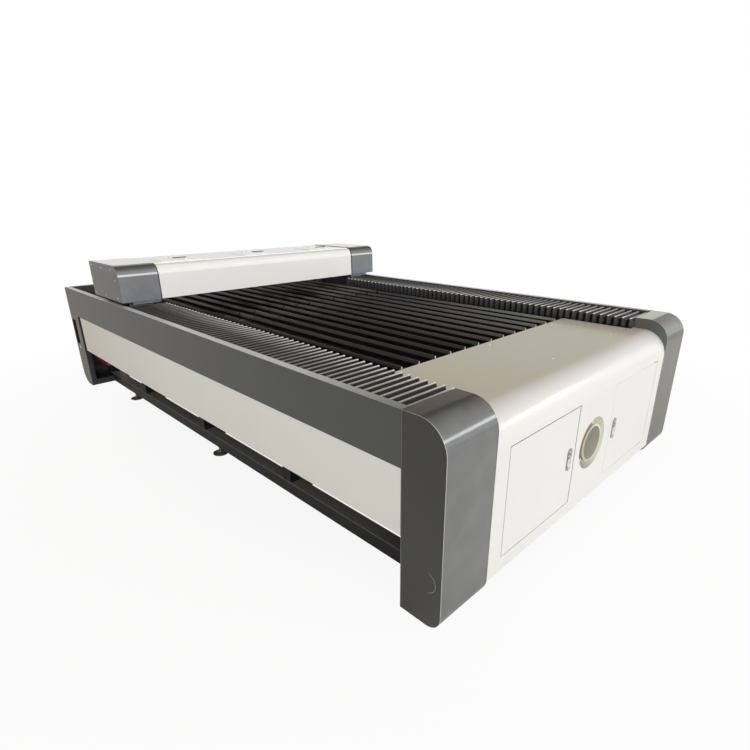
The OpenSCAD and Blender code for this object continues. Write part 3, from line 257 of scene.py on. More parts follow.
def object_noise(tree, scale, detail=3, rough=0.5, stretch=None):
    """Noise on Object coordinates; scale is a socket or a number."""
    co = tree.nodes.new("ShaderNodeTexCoord").outputs["Object"]
    if stretch:
        m = add_node(tree, "ShaderNodeMapping", {"Scale": stretch})
        join(tree, (co, m.inputs["Vector"]))
        co = m.outputs["Vector"]
    n = add_node(tree, "ShaderNodeTexNoise", {"Detail": detail, "Roughness": rough})
    join(tree, (co, n.inputs["Vector"]))
    feed(tree, n.inputs["Scale"], scale)
    return n.outputs["Fac"]


# ------------------------------------------------------------------ shared effects


def make_grain_group():
    """Fine surface grain: a height for the bump, and a slow cloud and a speckle for the colour."""
    tree, given, made = new_group("Surface Grain", {"Grain Scale": 900, "Cloud Scale": 2.5},
        "Height", "Cloud", "Speckle")
    fine = object_noise(tree, given["Grain Scale"], 2, 0.6)
    cloud = object_noise(tree, given["Cloud Scale"], 4, 0.55)
    speck = ramp_mask(tree, object_noise(tree, given["Grain Scale"], 1, 0.5), 0.35, 0.7)
    join(tree, (fine, made["Height"]), (cloud, made["Cloud"]), (speck, made["Speckle"]))
    return tree


def make_dust_group():
    """Dust that lies on what faces up, in uneven patches."""
    tree, given, made = new_group("Settled Dust", {"Amount": 0.5, "Patch Scale": 9}, "Mask")
    up = ramp_mask(tree, coordinates(tree, "Normal")["Z"], 0.2, 0.95)
    patch = ramp_mask(tree, object_noise(tree, given["Patch Scale"], 5, 0.62), 0.3, 0.75)
    join(tree, (product(tree, up, patch, given["Amount"]), made["Mask"]))
    return tree


def make_scuff_group():
    """Sparse hairline scuffs and rub marks."""
    tree, given, made = new_group("Scuffs", {"Amount": 0.5, "Scale": 6}, "Mask")
    where = ramp_mask(tree, object_noise(tree, given["Scale"], 3, 0.6), 0.60, 0.72)
    hair = ramp_mask(tree, object_noise(tree, 38, 2, 0.5, (1, 1, 9)), 0.66, 0.74)
    join(tree, (product(tree, where, hair, given["Amount"]), made["Mask"]))
    return tree


def make_edge_wear_and_highlight_group():
    """Worn edges with a painted highlight: the mask grows where a rounded normal leaves the face's own."""
    tree, given, made = new_group("Rubbed Edges", {"Amount": 0.5, "Patch Scale": 14}, "Mask")
    rounded = add_node(tree, "ShaderNodeBevel", {"Radius": 0.0016}, samples=4)
    lean = add_node(tree, "ShaderNodeVectorMath", operation="DOT_PRODUCT")
    join(tree, (rounded.outputs["Normal"], lean.inputs[0]),
        (tree.nodes.new("ShaderNodeNewGeometry").outputs["Normal"], lean.inputs[1]))
    edge = ramp_mask(tree, lean.outputs["Value"], 0.985, 0.8)
    patch = ramp_mask(tree, object_noise(tree, given["Patch Scale"], 4, 0.6), 0.2, 0.6)
    join(tree, (product(tree, edge, patch, given["Amount"]), made["Mask"]))
    return tree


def make_painted_sheen_group():
    """A painted sheen: a lighter colour on panels that face the door end, in soft blotches."""
    tree, given, made = new_group("Coat Haze",
        {"Amount": 0.5, "Blotch Scale": 9, "Facing From": -0.8, "Facing To": -0.98}, "Mask")
    facing = ramp_mask(tree, coordinates(tree, "Normal")["Y"], given["Facing From"], given["Facing To"])
    blotch = ramp_mask(tree, object_noise(tree, given["Blotch Scale"], 3, 0.5), -0.7, 0.8)
    join(tree, (product(tree, facing, blotch, given["Amount"]), made["Mask"]))
    return tree


def make_streak_group():
    """Fine drawn streaks on machined and plated metal."""
    tree, given, made = new_group("Drawn Streaks", {"Streak Scale": 60}, "Height", "Mask")
    streak = object_noise(tree, given["Streak Scale"], 3, 0.6, (1, 14, 14))
    join(tree, (streak, made["Height"]), (ramp_mask(tree, streak, 0.3, 0.7), made["Mask"]))
    return tree


def use_group(tree, group, **values):
    n = add_node(tree, "ShaderNodeGroup", node_tree=group)
    for key, value in values.items():
        n.inputs[key.replace("_", " ")].default_value = value
    return n


# ------------------------------------------------------------------ finishes


def new_material(name, **sockets):
    """A material with one Principled BSDF; sockets are its constant values."""
    mat = bpy.data.materials.new(name)
    mat.use_nodes = True
    shader = mat.node_tree.nodes["Principled BSDF"]
    for key, value in sockets.items():
        shader.inputs[key.replace("_", " ")].default_value = value
    return mat, mat.node_tree, shader


def dress(tree, shader, look, rough, height, strength, distance):
    """Sets the shader's colour, its roughness and the bump of its grain."""
    n = add_node(tree, "ShaderNodeBump", {"Strength": strength, "Distance": distance})
    join(tree, (look, shader.inputs["Base Color"]), (rough, shader.inputs["Roughness"]),
        (height, n.inputs["Height"]), (n.outputs["Normal"], shader.inputs["Normal"]))


def make_paint(name, rgb, rough, grain, groups, dust=0.12, scuff=0.25, bump_size=0.00012, cloud=0.05,
        speckle=0.0, haze=None, edges=0.0, coat=0.0, coat_rough=0.2):
    """Sprayed paint: a cloud and a speckle in its colour, a painted sheen, dust on top, scuffs, worn edges
    with a painted highlight, and a skin.
    The painted sheen is its amount, its colour and the two leans of the face between which it grows."""
    mat, tree, shader = new_material(name, Coat_Weight=coat, Coat_Roughness=coat_rough)
    base = tuple(rgb)
    pale = tuple(min(1, c * 1.8 + 0.08) for c in base)
    skin = use_group(tree, groups["grain"], Grain_Scale=grain)
    look = mix_colours(tree, skin.outputs["Cloud"], scaled(base, 1 - cloud), base)
    if speckle:
        look = wash(tree, look, skin.outputs["Speckle"], pale, speckle)
    # Painted sheen: a lighter colour on faces that lean towards the door end.
    if haze:
        amount, sheen_rgb, lean_from, lean_to = haze
        sheen_node = use_group(tree, groups["haze"], Amount=amount, Facing_From=lean_from, Facing_To=lean_to)
        look = wash(tree, look, sheen_node.outputs["Mask"], sheen_rgb)
    dust_and_sheen = use_group(tree, groups["dust"], Amount=dust).outputs["Mask"]
    look = wash(tree, look, dust_and_sheen, tuple(bpy.context.scene.laser_paint.dust))
    look = wash(tree, look, use_group(tree, groups["scuff"], Amount=scuff).outputs["Mask"], pale)
    # Edges lightened: partly worn bare paint, partly a painted edge highlight.
    if edges:
        bare = tuple(min(1, c * 2.4 + 0.16) for c in base)
        look = wash(tree, look, use_group(tree, groups["edge"], Amount=edges).outputs["Mask"], bare)
    worn = mix_values(tree, skin.outputs["Cloud"], rough * 0.9, rough * 1.12)
    dress(tree, shader, look, mix_values(tree, dust_and_sheen, worn, 0.8), skin.outputs["Height"], 0.5, bump_size)
    return mat


def make_gloss(name, rgb, groups, dust, scuff, coat, coat_rough):
    """The smooth stove enamel of the pale covers."""
    return make_paint(name, rgb, 0.3, 420, groups, dust=dust, scuff=scuff, coat=coat, coat_rough=coat_rough)


def make_powder(name, rgb, groups, **look):
    """The grey powder coat with its fine orange peel."""
    return make_paint(name, rgb, 0.42, 1500, groups, bump_size=0.0003, cloud=0.12, **look)


def make_metal(name, rgb, rough, groups, streaks=60, dust=0.1, metallic=1.0):
    """Plated, ground or cast metal with drawn streaks."""
    mat, tree, shader = new_material(name, Metallic=metallic)
    drawn = use_group(tree, groups["streak"], Streak_Scale=streaks)
    look = mix_colours(tree, drawn.outputs["Mask"], scaled(rgb, 0.86), rgb)
    look = wash(tree, look, use_group(tree, groups["dust"], Amount=dust).outputs["Mask"], tone(170, 164, 150))
    worn = mix_values(tree, drawn.outputs["Mask"], rough * 0.8, rough * 1.25)
    dress(tree, shader, look, worn, drawn.outputs["Height"], 0.35, 0.00008)
    return mat


def make_plastic(name, rgb, rough, groups, grain=500):
    """Moulded plastic or rubber with a fine skin."""
    mat, tree, shader = new_material(name)
    skin = use_group(tree, groups["grain"], Grain_Scale=grain)
    look = mix_colours(tree, skin.outputs["Cloud"], scaled(rgb, 0.85), rgb)
    worn = mix_values(tree, skin.outputs["Cloud"], rough * 0.85, rough * 1.15)
    dress(tree, shader, look, worn, skin.outputs["Height"], 0.4, 0.0001)
    return mat


def make_glass():
    """The laser tube's pale green glass."""
    mat, tree, shader = new_material("Tube glass", Roughness=0.03, IOR=1.47, Transmission_Weight=1.0)
    look = mix_colours(tree, object_noise(tree, 6), tone(214, 232, 228), tone(232, 244, 240))
    join(tree, (look, shader.inputs["Base Color"]))
    return mat


def retouch(mat, change):
    """Passes the material's colour through change(tree, colour)."""
    tree = mat.node_tree
    slot = tree.nodes["Principled BSDF"].inputs["Base Color"]
    join(tree, (change(tree, slot.links[0].from_socket), slot))
    return mat


def tint_faces_up(tree, look, rgb, amount, above=None):
    """The look with the flat faces that point up in another colour, above a height where one is given; the
    callers use it for painted reflection and sheen on tops, with dust on some.
    """
    up = ramp_mask(tree, coordinates(tree, "Normal")["Z"], 0.982, 0.998)
    if above is not None:
        up = product(tree, up, ramp_mask(tree, coordinates(tree)["Z"], above, above + 0.001))
    return wash(tree, look, up, rgb, amount)


def ledge_highlight(tree, look, low, high, rgb, side_x=None):
    """The look with a painted highlight band between two heights, short of the plane at side_x where one is
    given.
    """
    height = coordinates(tree)["Z"]
    band = product(tree, ramp_mask(tree, height, low, low + 0.0015),
        ramp_mask(tree, height, high, high - 0.001))
    if side_x is not None:
        band = product(tree, band, ramp_mask(tree, distance_across(tree), side_x, side_x - 0.0003))
    return wash(tree, look, band, rgb)


def end_gap_shade(tree, look, end, rgb):
    """The look with a painted shadow line across the edge of a panel that ends at a plane of Y."""
    return wash(tree, look, ramp_mask(tree, coordinates(tree)["Y"], end + 0.0022, end + 0.0016), rgb)


def arc_scratch(tree, look, centre, radius, width, rgb):
    """The look with part of a circle scratched into a left side, round a centre given as Y and Z."""
    place = coordinates(tree)
    far = span(tree, calc(tree, "SUBTRACT", place["Y"], centre[0]),
        calc(tree, "SUBTRACT", place["Z"], centre[1]))
    line = stripe_mask(tree, far, radius - width, radius + width, soft=width)
    part = product(tree, ramp_mask(tree, place["Y"], centre[0] - 0.004, centre[0] - 0.016),
        ramp_mask(tree, place["X"], -0.99, -0.998))
    return wash(tree, look, product(tree, line, part), rgb)


def make_bellows_cloth(rgb, groups):
    """Coated cloth that is black in the folds, with a painted highlight along its crests, in patches,
    stronger and paler towards the door end and palest at their inner ends.
    """
    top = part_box("bellows_front")[1].z
    inner = min(abs(v.co.x) for v in NODES["bellows_front"].data.vertices)
    tip_in, tip_out = inner + 0.010, inner + 0.018
    mat, tree, shader = new_material("Bellows cloth", Coat_Weight=0.12, Coat_Roughness=0.3)
    skin = use_group(tree, groups["grain"], Grain_Scale=700.0)
    place, side = coordinates(tree), distance_across(tree)
    # Painted highlight: the crests lightened in patches, most towards the door end and at their inner ends.
    crest = ramp_mask(tree, place["Z"], top - 0.005, top - 0.003)
    worn = product(tree, ramp_mask(tree, object_noise(tree, 26, 4, 0.6), -0.3, 0.5),
        mix_values(tree, ramp_mask(tree, place["Y"], 0.5, -0.35), 0.3, 1.0))
    outer = mix_colours(tree, ramp_mask(tree, place["Y"], -0.7, -1.35), tone(112, 112, 109),
        tone(176, 175, 170))
    crest_highlight = wash(tree, outer, ramp_mask(tree, side, tip_out + 0.12, tip_out), tone(226, 224, 218))
    look = mix_colours(tree, skin.outputs["Cloud"], scaled(rgb, 0.7), rgb)
    look = wash(tree, look, product(tree, crest, worn), crest_highlight)
    look = wash(tree, look, product(tree, crest, ramp_mask(tree, side, tip_out, tip_in)), tone(250, 249, 244))
    dress(tree, shader, look, mix_values(tree, crest, 0.5, 0.36), skin.outputs["Height"], 0.5, 0.0001)
    return mat


def make_blade_finish(rgb, groups):
    """Dark anodising with dust and a painted sheen along the slopes, a painted reflection of the gantry near
    it, a painted highlight near the deck on the right, and the bare metal of the sawn ends.
    """
    low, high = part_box("bed_slats")
    slope_z = high.z - 0.014
    mat, tree, shader = new_material("Blade anodising", Coat_Weight=0.28, Coat_Roughness=0.12)
    skin = use_group(tree, groups["grain"], Grain_Scale=600.0)
    place = coordinates(tree)
    upper = ramp_mask(tree, place["Z"], slope_z - 0.0005, slope_z + 0.002)
    streak = ramp_mask(tree, object_noise(tree, 3.2, 5, 0.65, (1.6, 0.45, 1)), 0.38, 0.68)
    gantry_reflection = product(tree, upper, streak, ramp_mask(tree, place["Y"], 0.2, 0.5))
    deck_side_highlight = product(tree, upper, ramp_mask(tree, place["Y"], 0.2, -1.1),
        ramp_mask(tree, place["X"], -0.15, 0.7))
    look = mix_colours(tree, skin.outputs["Cloud"], scaled(rgb, 0.8), rgb)
    # Dust and a painted sheen on the upper slopes, a painted reflection of the gantry, and a painted
    # highlight near the deck.
    look = wash(tree, look, upper, tone(120, 112, 101), 0.03)
    look = wash(tree, look, product(tree, upper, streak), tone(126, 123, 118), 0.16)
    look = wash(tree, look, gantry_reflection, tone(168, 160, 150), 0.6)
    look = wash(tree, look, deck_side_highlight, tone(168, 163, 154), 0.8)
    for end in (low.y, high.y):
        gap = calc(tree, "ABSOLUTE", calc(tree, "SUBTRACT", place["Y"], end))
        look = wash(tree, look, ramp_mask(tree, gap, 0.0009, 0.0004), tone(236, 234, 228))
    dress(tree, shader, look, mix_values(tree, streak, 0.34, 0.6), skin.outputs["Height"], 0.4, 0.0001)
    return mat


def make_cap_coat(name, rgb, groups, dust, haze, top, rim, foot_shade):
    """A front cap's coat: its flat top matt, in a tone of dust with a painted sheen, the rounding and front
    glossy with a painted sheen, painted shade towards the foot, and painted lines along its edges.
    """
    low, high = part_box("cap_right")
    wall, side, line = low.x, high.x, 0.0003
    mat = make_paint(name, rgb, 0.44, 1300, groups, dust=dust, scuff=0.5, bump_size=0.0003, cloud=0.1,
        speckle=0.12, haze=(0.64, haze, -0.02, -0.34), edges=0.5, coat=1.0, coat_rough=0.13)

    def change(tree, look):
        speck = use_group(tree, groups["grain"], Grain_Scale=1500.0).outputs["Speckle"]
        across, place = distance_across(tree), coordinates(tree)
        # Painted shade, darker towards the foot.
        look = wash(tree, look, ramp_mask(tree, place["Z"], 0.8, 0.15), tone(30, 31, 31), foot_shade)
        # Dust with a painted sheen on the flat top.
        look = tint_faces_up(tree, look, mix_colours(tree, speck, scaled(top, 0.72), top), 0.92)
        # Painted lines: along the inner edge (shade on the left cap, highlight on the right cap), a highlight
        # along the outer edge, and painted light on the inner side face.
        look = wash(tree, look, stripe_mask(tree, across, wall + line, wall + 0.0028), rim)
        look = wash(tree, look, stripe_mask(tree, across, side - 0.0026, side - line), tone(192, 194, 193))
        look = wash(tree, look, ramp_mask(tree, across, wall + line, wall + 0.0001), tone(80, 86, 86))
        # Painted highlight along the rear edge beside the band.
        rear_edge_highlight = product(tree, ramp_mask(tree, place["Y"], high.y - 0.0022, high.y - 0.0016),
            ramp_mask(tree, across, side - 0.0002, side))
        look = wash(tree, look, rear_edge_highlight, tone(128, 130, 128))
        return arc_scratch(tree, look, (-1.7085, 0.237), 0.0385, 0.0007, tone(150, 149, 145))

    mat.node_tree.nodes["Principled BSDF"].inputs["Coat IOR"].default_value = 1.6
    return retouch(mat, change)


def make_band_coat(rgb, groups):
    """The bands' coat: a pale top flange of dust and painted reflection, mottled and greyer near the caps,
    and a painted shadow line at the gap to the caps.
    """
    mat = make_powder("Band powder coat", rgb, groups, dust=0.3, scuff=0.5, speckle=0.16, edges=0.5,
        coat=0.45, coat_rough=0.14)
    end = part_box("band_left")[0].y

    def change(tree, look):
        # Dust with a painted reflection on the top flange, greyer near the caps, and a painted shadow line at
        # the caps.
        worn = ramp_mask(tree, object_noise(tree, 300, 4, 0.7), 0.3, 0.55)
        dust_and_sheen = mix_colours(tree, worn, tone(212, 205, 195), tone(246, 250, 255))
        near_cap = ramp_mask(tree, coordinates(tree)["Y"], end, end + 0.55)
        flange = mix_colours(tree, near_cap, tone(160, 157, 150), dust_and_sheen)
        look = tint_faces_up(tree, look, flange, 0.96)
        return end_gap_shade(tree, look, end, tone(16, 16, 16))

    return retouch(mat, change)


def make_skirt_paint(groups):
    """The skirts' paint, lighter than the ivory as painted light, with painted light at the top and towards
    the door end, painted shade towards the rear, and a painted shadow line at the front end.
    """
    low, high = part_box("skirt_left")

    def change(tree, look):
        # Painted light at the top and towards the door end, painted shade towards the rear.
        place = coordinates(tree)
        lit = product(tree, ramp_mask(tree, place["Z"], low.z + 0.05, high.z),
            ramp_mask(tree, place["Y"], high.y, low.y))
        look = wash(tree, look, lit, tone(255, 254, 251), 0.8)
        look = wash(tree, look, ramp_mask(tree, place["Y"], 0.1, high.y), tone(222, 215, 203), 0.6)
        return end_gap_shade(tree, look, low.y, tone(30, 30, 28))

    return retouch(make_gloss("Skirt paint", tone(255, 254, 248), groups, 0.05, 0.1, 0.4, 0.1), change)


def make_leg_coat(groups):
    """The rear legs' coat: paler brown on the outer face, painted shade inside, and a little paler on the
    front.
    """
    low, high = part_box("rear_legs")
    mat = make_powder("Leg powder coat", tone(44, 47, 47), groups, dust=0.2, scuff=0.5, speckle=0.1,
        edges=0.4, coat=0.3, coat_rough=0.22)

    def change(tree, look):
        across = distance_across(tree)
        inside = ramp_mask(tree, across, high.x - 0.003, high.x - 0.0045)
        outside = ramp_mask(tree, across, high.x - 0.0015, high.x - 0.0005)
        front = ramp_mask(tree, coordinates(tree)["Y"], low.y + 0.002, low.y + 0.0005)
        # Painted shade on the inner faces.
        look = wash(tree, look, inside, tone(14, 14, 14), 0.75)
        look = wash(tree, look, front, tone(50, 53, 54), 0.8)
        return wash(tree, look, outside, tone(112, 105, 98), 0.85)

    return retouch(mat, change)


def make_end_coat(groups, sizes):
    """The gantry ends' coat: a painted sheen below, fine brushed streaks above, a painted highlight on the
    ledge between the two, and a painted reflection that makes the flat top near white.
    """
    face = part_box("gantry_end_right")[1]
    mat = make_powder("Gantry end coat", tone(62, 64, 64), groups, dust=0.14, scuff=0.3, speckle=0.12,
        haze=(0.76, tone(150, 155, 162), -0.8, -0.98), edges=0.6, coat=1.0, coat_rough=0.09)

    def change(tree, look):
        above = ramp_mask(tree, coordinates(tree)["Z"], sizes.ledge_top, sizes.ledge_top + 0.001)
        brushed = ramp_mask(tree, object_noise(tree, 9, 3, 0.6, (0.3, 3, 16)), 0.35, 0.75)
        look = wash(tree, look, product(tree, above, brushed), tone(120, 122, 122), 0.3)
        # Painted highlight on the ledge, and a painted reflection on the flat top.
        look = ledge_highlight(tree, look, sizes.ledge_foot, sizes.ledge_top, tone(226, 224, 218), face.x - 0.001)
        return tint_faces_up(tree, look, tone(255, 253, 249), 1.0, above=face.z - 0.015)

    return retouch(mat, change)


def make_lock_chrome(groups):
    """Bright plate with a greyer rim, and shade in the corners that the button's pocket hides."""
    low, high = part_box("lock_right")
    lock_x, lock_z = (low.x + high.x) / 2, (low.z + high.z) / 2
    half_w, half_l = (high.x - low.x) / 2, (high.z - low.z) / 2
    # Two spots of painted shade, dark in the pocket above the button and blue-black beside it, then a grey
    # spot at the foot.
    shades = ((0.0, 0.0335, 1.0, 0.0076, tone(22, 20, 22)), (0.0075, 0.0115, 0.6, 0.0062, tone(30, 42, 70)),
        (0.0, -0.040, 1.0, 0.0042, tone(120, 118, 118)))

    def change(tree, look):
        place = coordinates(tree)
        own_x = product(tree, calc(tree, "SIGN", place["X"]), lock_x)
        across = calc(tree, "SUBTRACT", place["X"], own_x)
        along = calc(tree, "SUBTRACT", place["Z"], lock_z)
        for x, z, squeeze, radius, rgb in shades:
            beside = calc(tree, "SUBTRACT", across, x)
            over = product(tree, calc(tree, "SUBTRACT", along, z), squeeze)
            look = wash(tree, look, ramp_mask(tree, span(tree, beside, over), radius, radius * 0.75), rgb)
        past = calc(tree, "SUBTRACT", calc(tree, "ABSOLUTE", along), half_l - half_w)
        far = span(tree, across, calc(tree, "MAXIMUM", past, 0.0))
        return wash(tree, look, ramp_mask(tree, far, half_w - 0.0042, half_w - 0.0034), tone(112, 112, 117))

    return retouch(make_metal("Lock bowl chrome", tone(232, 232, 236), 0.3, groups, 30, 0, 0.12), change)


def make_lid_paint(groups):
    """The hatches' paint, lighter than the ivory as painted light, and black on the bow handle that stands
    above the lid.
    """
    handle_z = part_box("gantry_cover")[1].z + 0.004

    def change(tree, look):
        high = ramp_mask(tree, coordinates(tree)["Z"], handle_z, handle_z + 0.0006)
        return wash(tree, look, high, tone(24, 24, 25))

    return retouch(make_gloss("Lid paint", tone(252, 251, 247), groups, 0.03, 0.1, 1.0, 0.06), change)


def make_rail_enamel(groups):
    """The long tubes' enamel: brown dust and a painted reflection on top, and a painted highlight along the
    lower rails' upper edge.
    """
    top = min(high.z for low, high in islands("long_tubes"))

    def change(tree, look):
        # Brown dust with a painted reflection on top, and a painted highlight line along the upper edge.
        look = tint_faces_up(tree, look, tone(74, 63, 54), 0.9)
        return ledge_highlight(tree, look, top - 0.003, top + 0.001, tone(136, 129, 121))

    return retouch(make_paint("Rail enamel", tone(24, 25, 23), 0.4, 300, groups, dust=0.1, edges=0.2), change)


def make_collar_paint(groups):
    """The port collar's paint, with painted light on its right side."""
    def change(tree, look):
        return wash(tree, look, ramp_mask(tree, coordinates(tree)["X"], -0.03, 0.06), tone(246, 250, 238))

    return retouch(make_paint("Collar paint", tone(214, 206, 190), 0.45, 300, groups, dust=0.1, cloud=0.12,
        edges=0.3), change)


def make_wire_sheath(groups):
    """Wire that is red towards the door end and a dull yellow at the rear."""
    split_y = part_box("rear_legs")[0].y + 0.002

    def change(tree, look):
        behind = ramp_mask(tree, coordinates(tree)["Y"], split_y, split_y + 0.02)
        return wash(tree, look, behind, tone(128, 112, 76))

    return retouch(make_plastic("Wire sheath", tone(196, 26, 34), 0.4, groups, 200), change)


def paint_nodes(mat, *names):
    """Puts a finish on every material slot of the named frame nodes."""
    for name in names:
        mesh = NODES[name].data
        if not mesh.materials:
            mesh.materials.append(mat)
        for i in range(len(mesh.materials)):
            mesh.materials[i] = mat


# ------------------------------------------------------------------ modelling


def start_mesh(kind, name, place, scale=(1, 1, 1), turn=(0, 0, 0), **sizes):
    """A primitive at its place with its scale and turn applied, open in edit mode with nothing selected."""
    if bpy.context.object and bpy.context.object.mode != "OBJECT":
        bpy.ops.object.mode_set(mode="OBJECT")
    bpy.ops.object.select_all(action="DESELECT")
    getattr(bpy.ops.mesh, f"primitive_{kind}_add")(location=place, rotation=turn, **sizes)
    piece = bpy.context.object
    piece.name = piece.data.name = name
    piece.scale = scale
    bpy.ops.object.transform_apply(location=True, rotation=True, scale=True)
    bpy.ops.object.mode_set(mode="EDIT")
    bpy.ops.mesh.select_all(action="DESELECT")
    return piece


def pick(piece, kind, test):
    """Selects only the vertices, edges or faces for which test(element) holds."""
    mode = {"verts": "VERT", "edges": "EDGE", "faces": "FACE"}[kind]
    bpy.ops.mesh.select_mode(type=mode)
    bpy.ops.mesh.select_all(action="DESELECT")
    mesh = bmesh.from_edit_mesh(piece.data)
    for element in getattr(mesh, kind):
        if test(element):
            element.select_set(True)
    mesh.select_flush_mode()
    bmesh.update_edit_mesh(piece.data)


def middle(element):
    """The mean place of an edge's or a face's corners."""
    total = Vector()
    for corner in element.verts:
        total += corner.co
    return total / len(element.verts)


def near(a, b, slack=1e-5):
    return abs(a - b) < slack


def modify(piece, kind, **settings):
    """Adds a modifier with its settings and applies it."""
    bpy.context.view_layer.objects.active = piece
    mod = piece.modifiers.new(kind.title(), kind)
    for key, value in settings.items():
        setattr(mod, key, value)
    bpy.ops.object.modifier_apply(modifier=mod.name)


def smooth(piece, degrees):
    """Smooth shading with edges sharper than the angle kept."""
    bpy.ops.object.select_all(action="DESELECT")
    piece.select_set(True)
    bpy.context.view_layer.objects.active = piece
    bpy.ops.object.shade_smooth_by_angle(angle=math.radians(degrees))


def repeat(piece, places, name):
    """Copies of the piece, each with its own mesh moved to a place, as one joined piece."""
    copies = []
    for place in places:
        twin = piece.copy()
        twin.data = piece.data.copy()
        twin.data.transform(place if isinstance(place, Matrix) else Matrix.Translation(place))
        bpy.context.collection.objects.link(twin)
        copies.append(twin)
    bpy.data.objects.remove(piece, do_unlink=True)
    bpy.ops.object.select_all(action="DESELECT")
    for twin in copies:
        twin.select_set(True)
    bpy.context.view_layer.objects.active = copies[0]
    bpy.ops.object.join()
    copies[0].name = copies[0].data.name = name
    return copies[0]


def flip_across(piece):
    """Turns the piece into its mirror image across the machine's middle plane."""
    piece.data.transform(Matrix.Scale(-1, 4, (1, 0, 0)))
    piece.data.flip_normals()


def mirrored(piece, name):
    """A copy of the piece on the other side of the middle plane."""
    twin = piece.copy()
    twin.data = piece.data.copy()
    twin.name = twin.data.name = name
    flip_across(twin)
    bpy.context.collection.objects.link(twin)
    return twin


def islands(node):
    """The low and high corners of each loose part of a frame node."""
    mesh = NODES[node].data
    owner = list(range(len(mesh.vertices)))
    first = {}

    def root(i):
        while owner[i] != i:
            i = owner[i]
        return i

    for v in mesh.vertices:
        spot = first.setdefault(tuple(round(c, 5) for c in v.co), v.index)
        owner[root(v.index)] = root(spot)
    for edge in mesh.edges:
        owner[root(edge.vertices[0])] = root(edge.vertices[1])
    parts = {}
    for v in mesh.vertices:
        parts.setdefault(root(v.index), []).append(v.co)
    return [(Vector(map(min, zip(*part))), Vector(map(max, zip(*part)))) for part in parts.values()]


def screw(name, radius, rise):
    """A round-headed screw with a cross recess, its seat at the origin and its head towards +Z."""
    crown, rim, arm_share, recess = rise * 0.62, radius * 0.1, 0.36, rise * 0.5
    piece = start_mesh("cylinder", name, (0, 0, rise / 2), vertices=24, radius=radius, depth=rise)
    pick(piece, "edges", lambda e: all(near(v.co.z, rise) for v in e.verts))
    bpy.ops.mesh.bevel(offset=crown, segments=3, profile=0.6)
    pick(piece, "faces", lambda f: near(middle(f).z, rise) and len(f.verts) > 6)
    bpy.ops.mesh.inset(thickness=rim, depth=0)
    inner = max(v.co.xy.length for v in picked(piece))

    def between_arms(v):
        turn = math.degrees(math.atan2(v.co.y, v.co.x)) % 90
        return near(v.co.z, rise) and v.co.xy.length < inner + 1e-5 and abs(turn - 45) < 25

    pick(piece, "verts", between_arms)
    bpy.ops.transform.resize(value=(arm_share, arm_share, 1), center_override=(0, 0, rise))
    pick(piece, "faces", lambda f: near(middle(f).z, rise) and len(f.verts) > 6
        and middle(f).xy.length < 1e-4)
    bpy.ops.mesh.extrude_region_move(TRANSFORM_OT_translate={"value": (0, 0, -recess)})
    bpy.ops.object.mode_set(mode="OBJECT")
    smooth(piece, 35)
    return piece


def picked(piece):
    """The selected vertices of a mesh that is open in edit mode."""
    return [v for v in bmesh.from_edit_mesh(piece.data).verts if v.select]


def finish_with(piece, name):
    """Gives the piece the named finish, made before it."""
    piece.data.materials.clear()
    piece.data.materials.append(bpy.data.materials[name])


# ------------------------------------------------------------------ operators


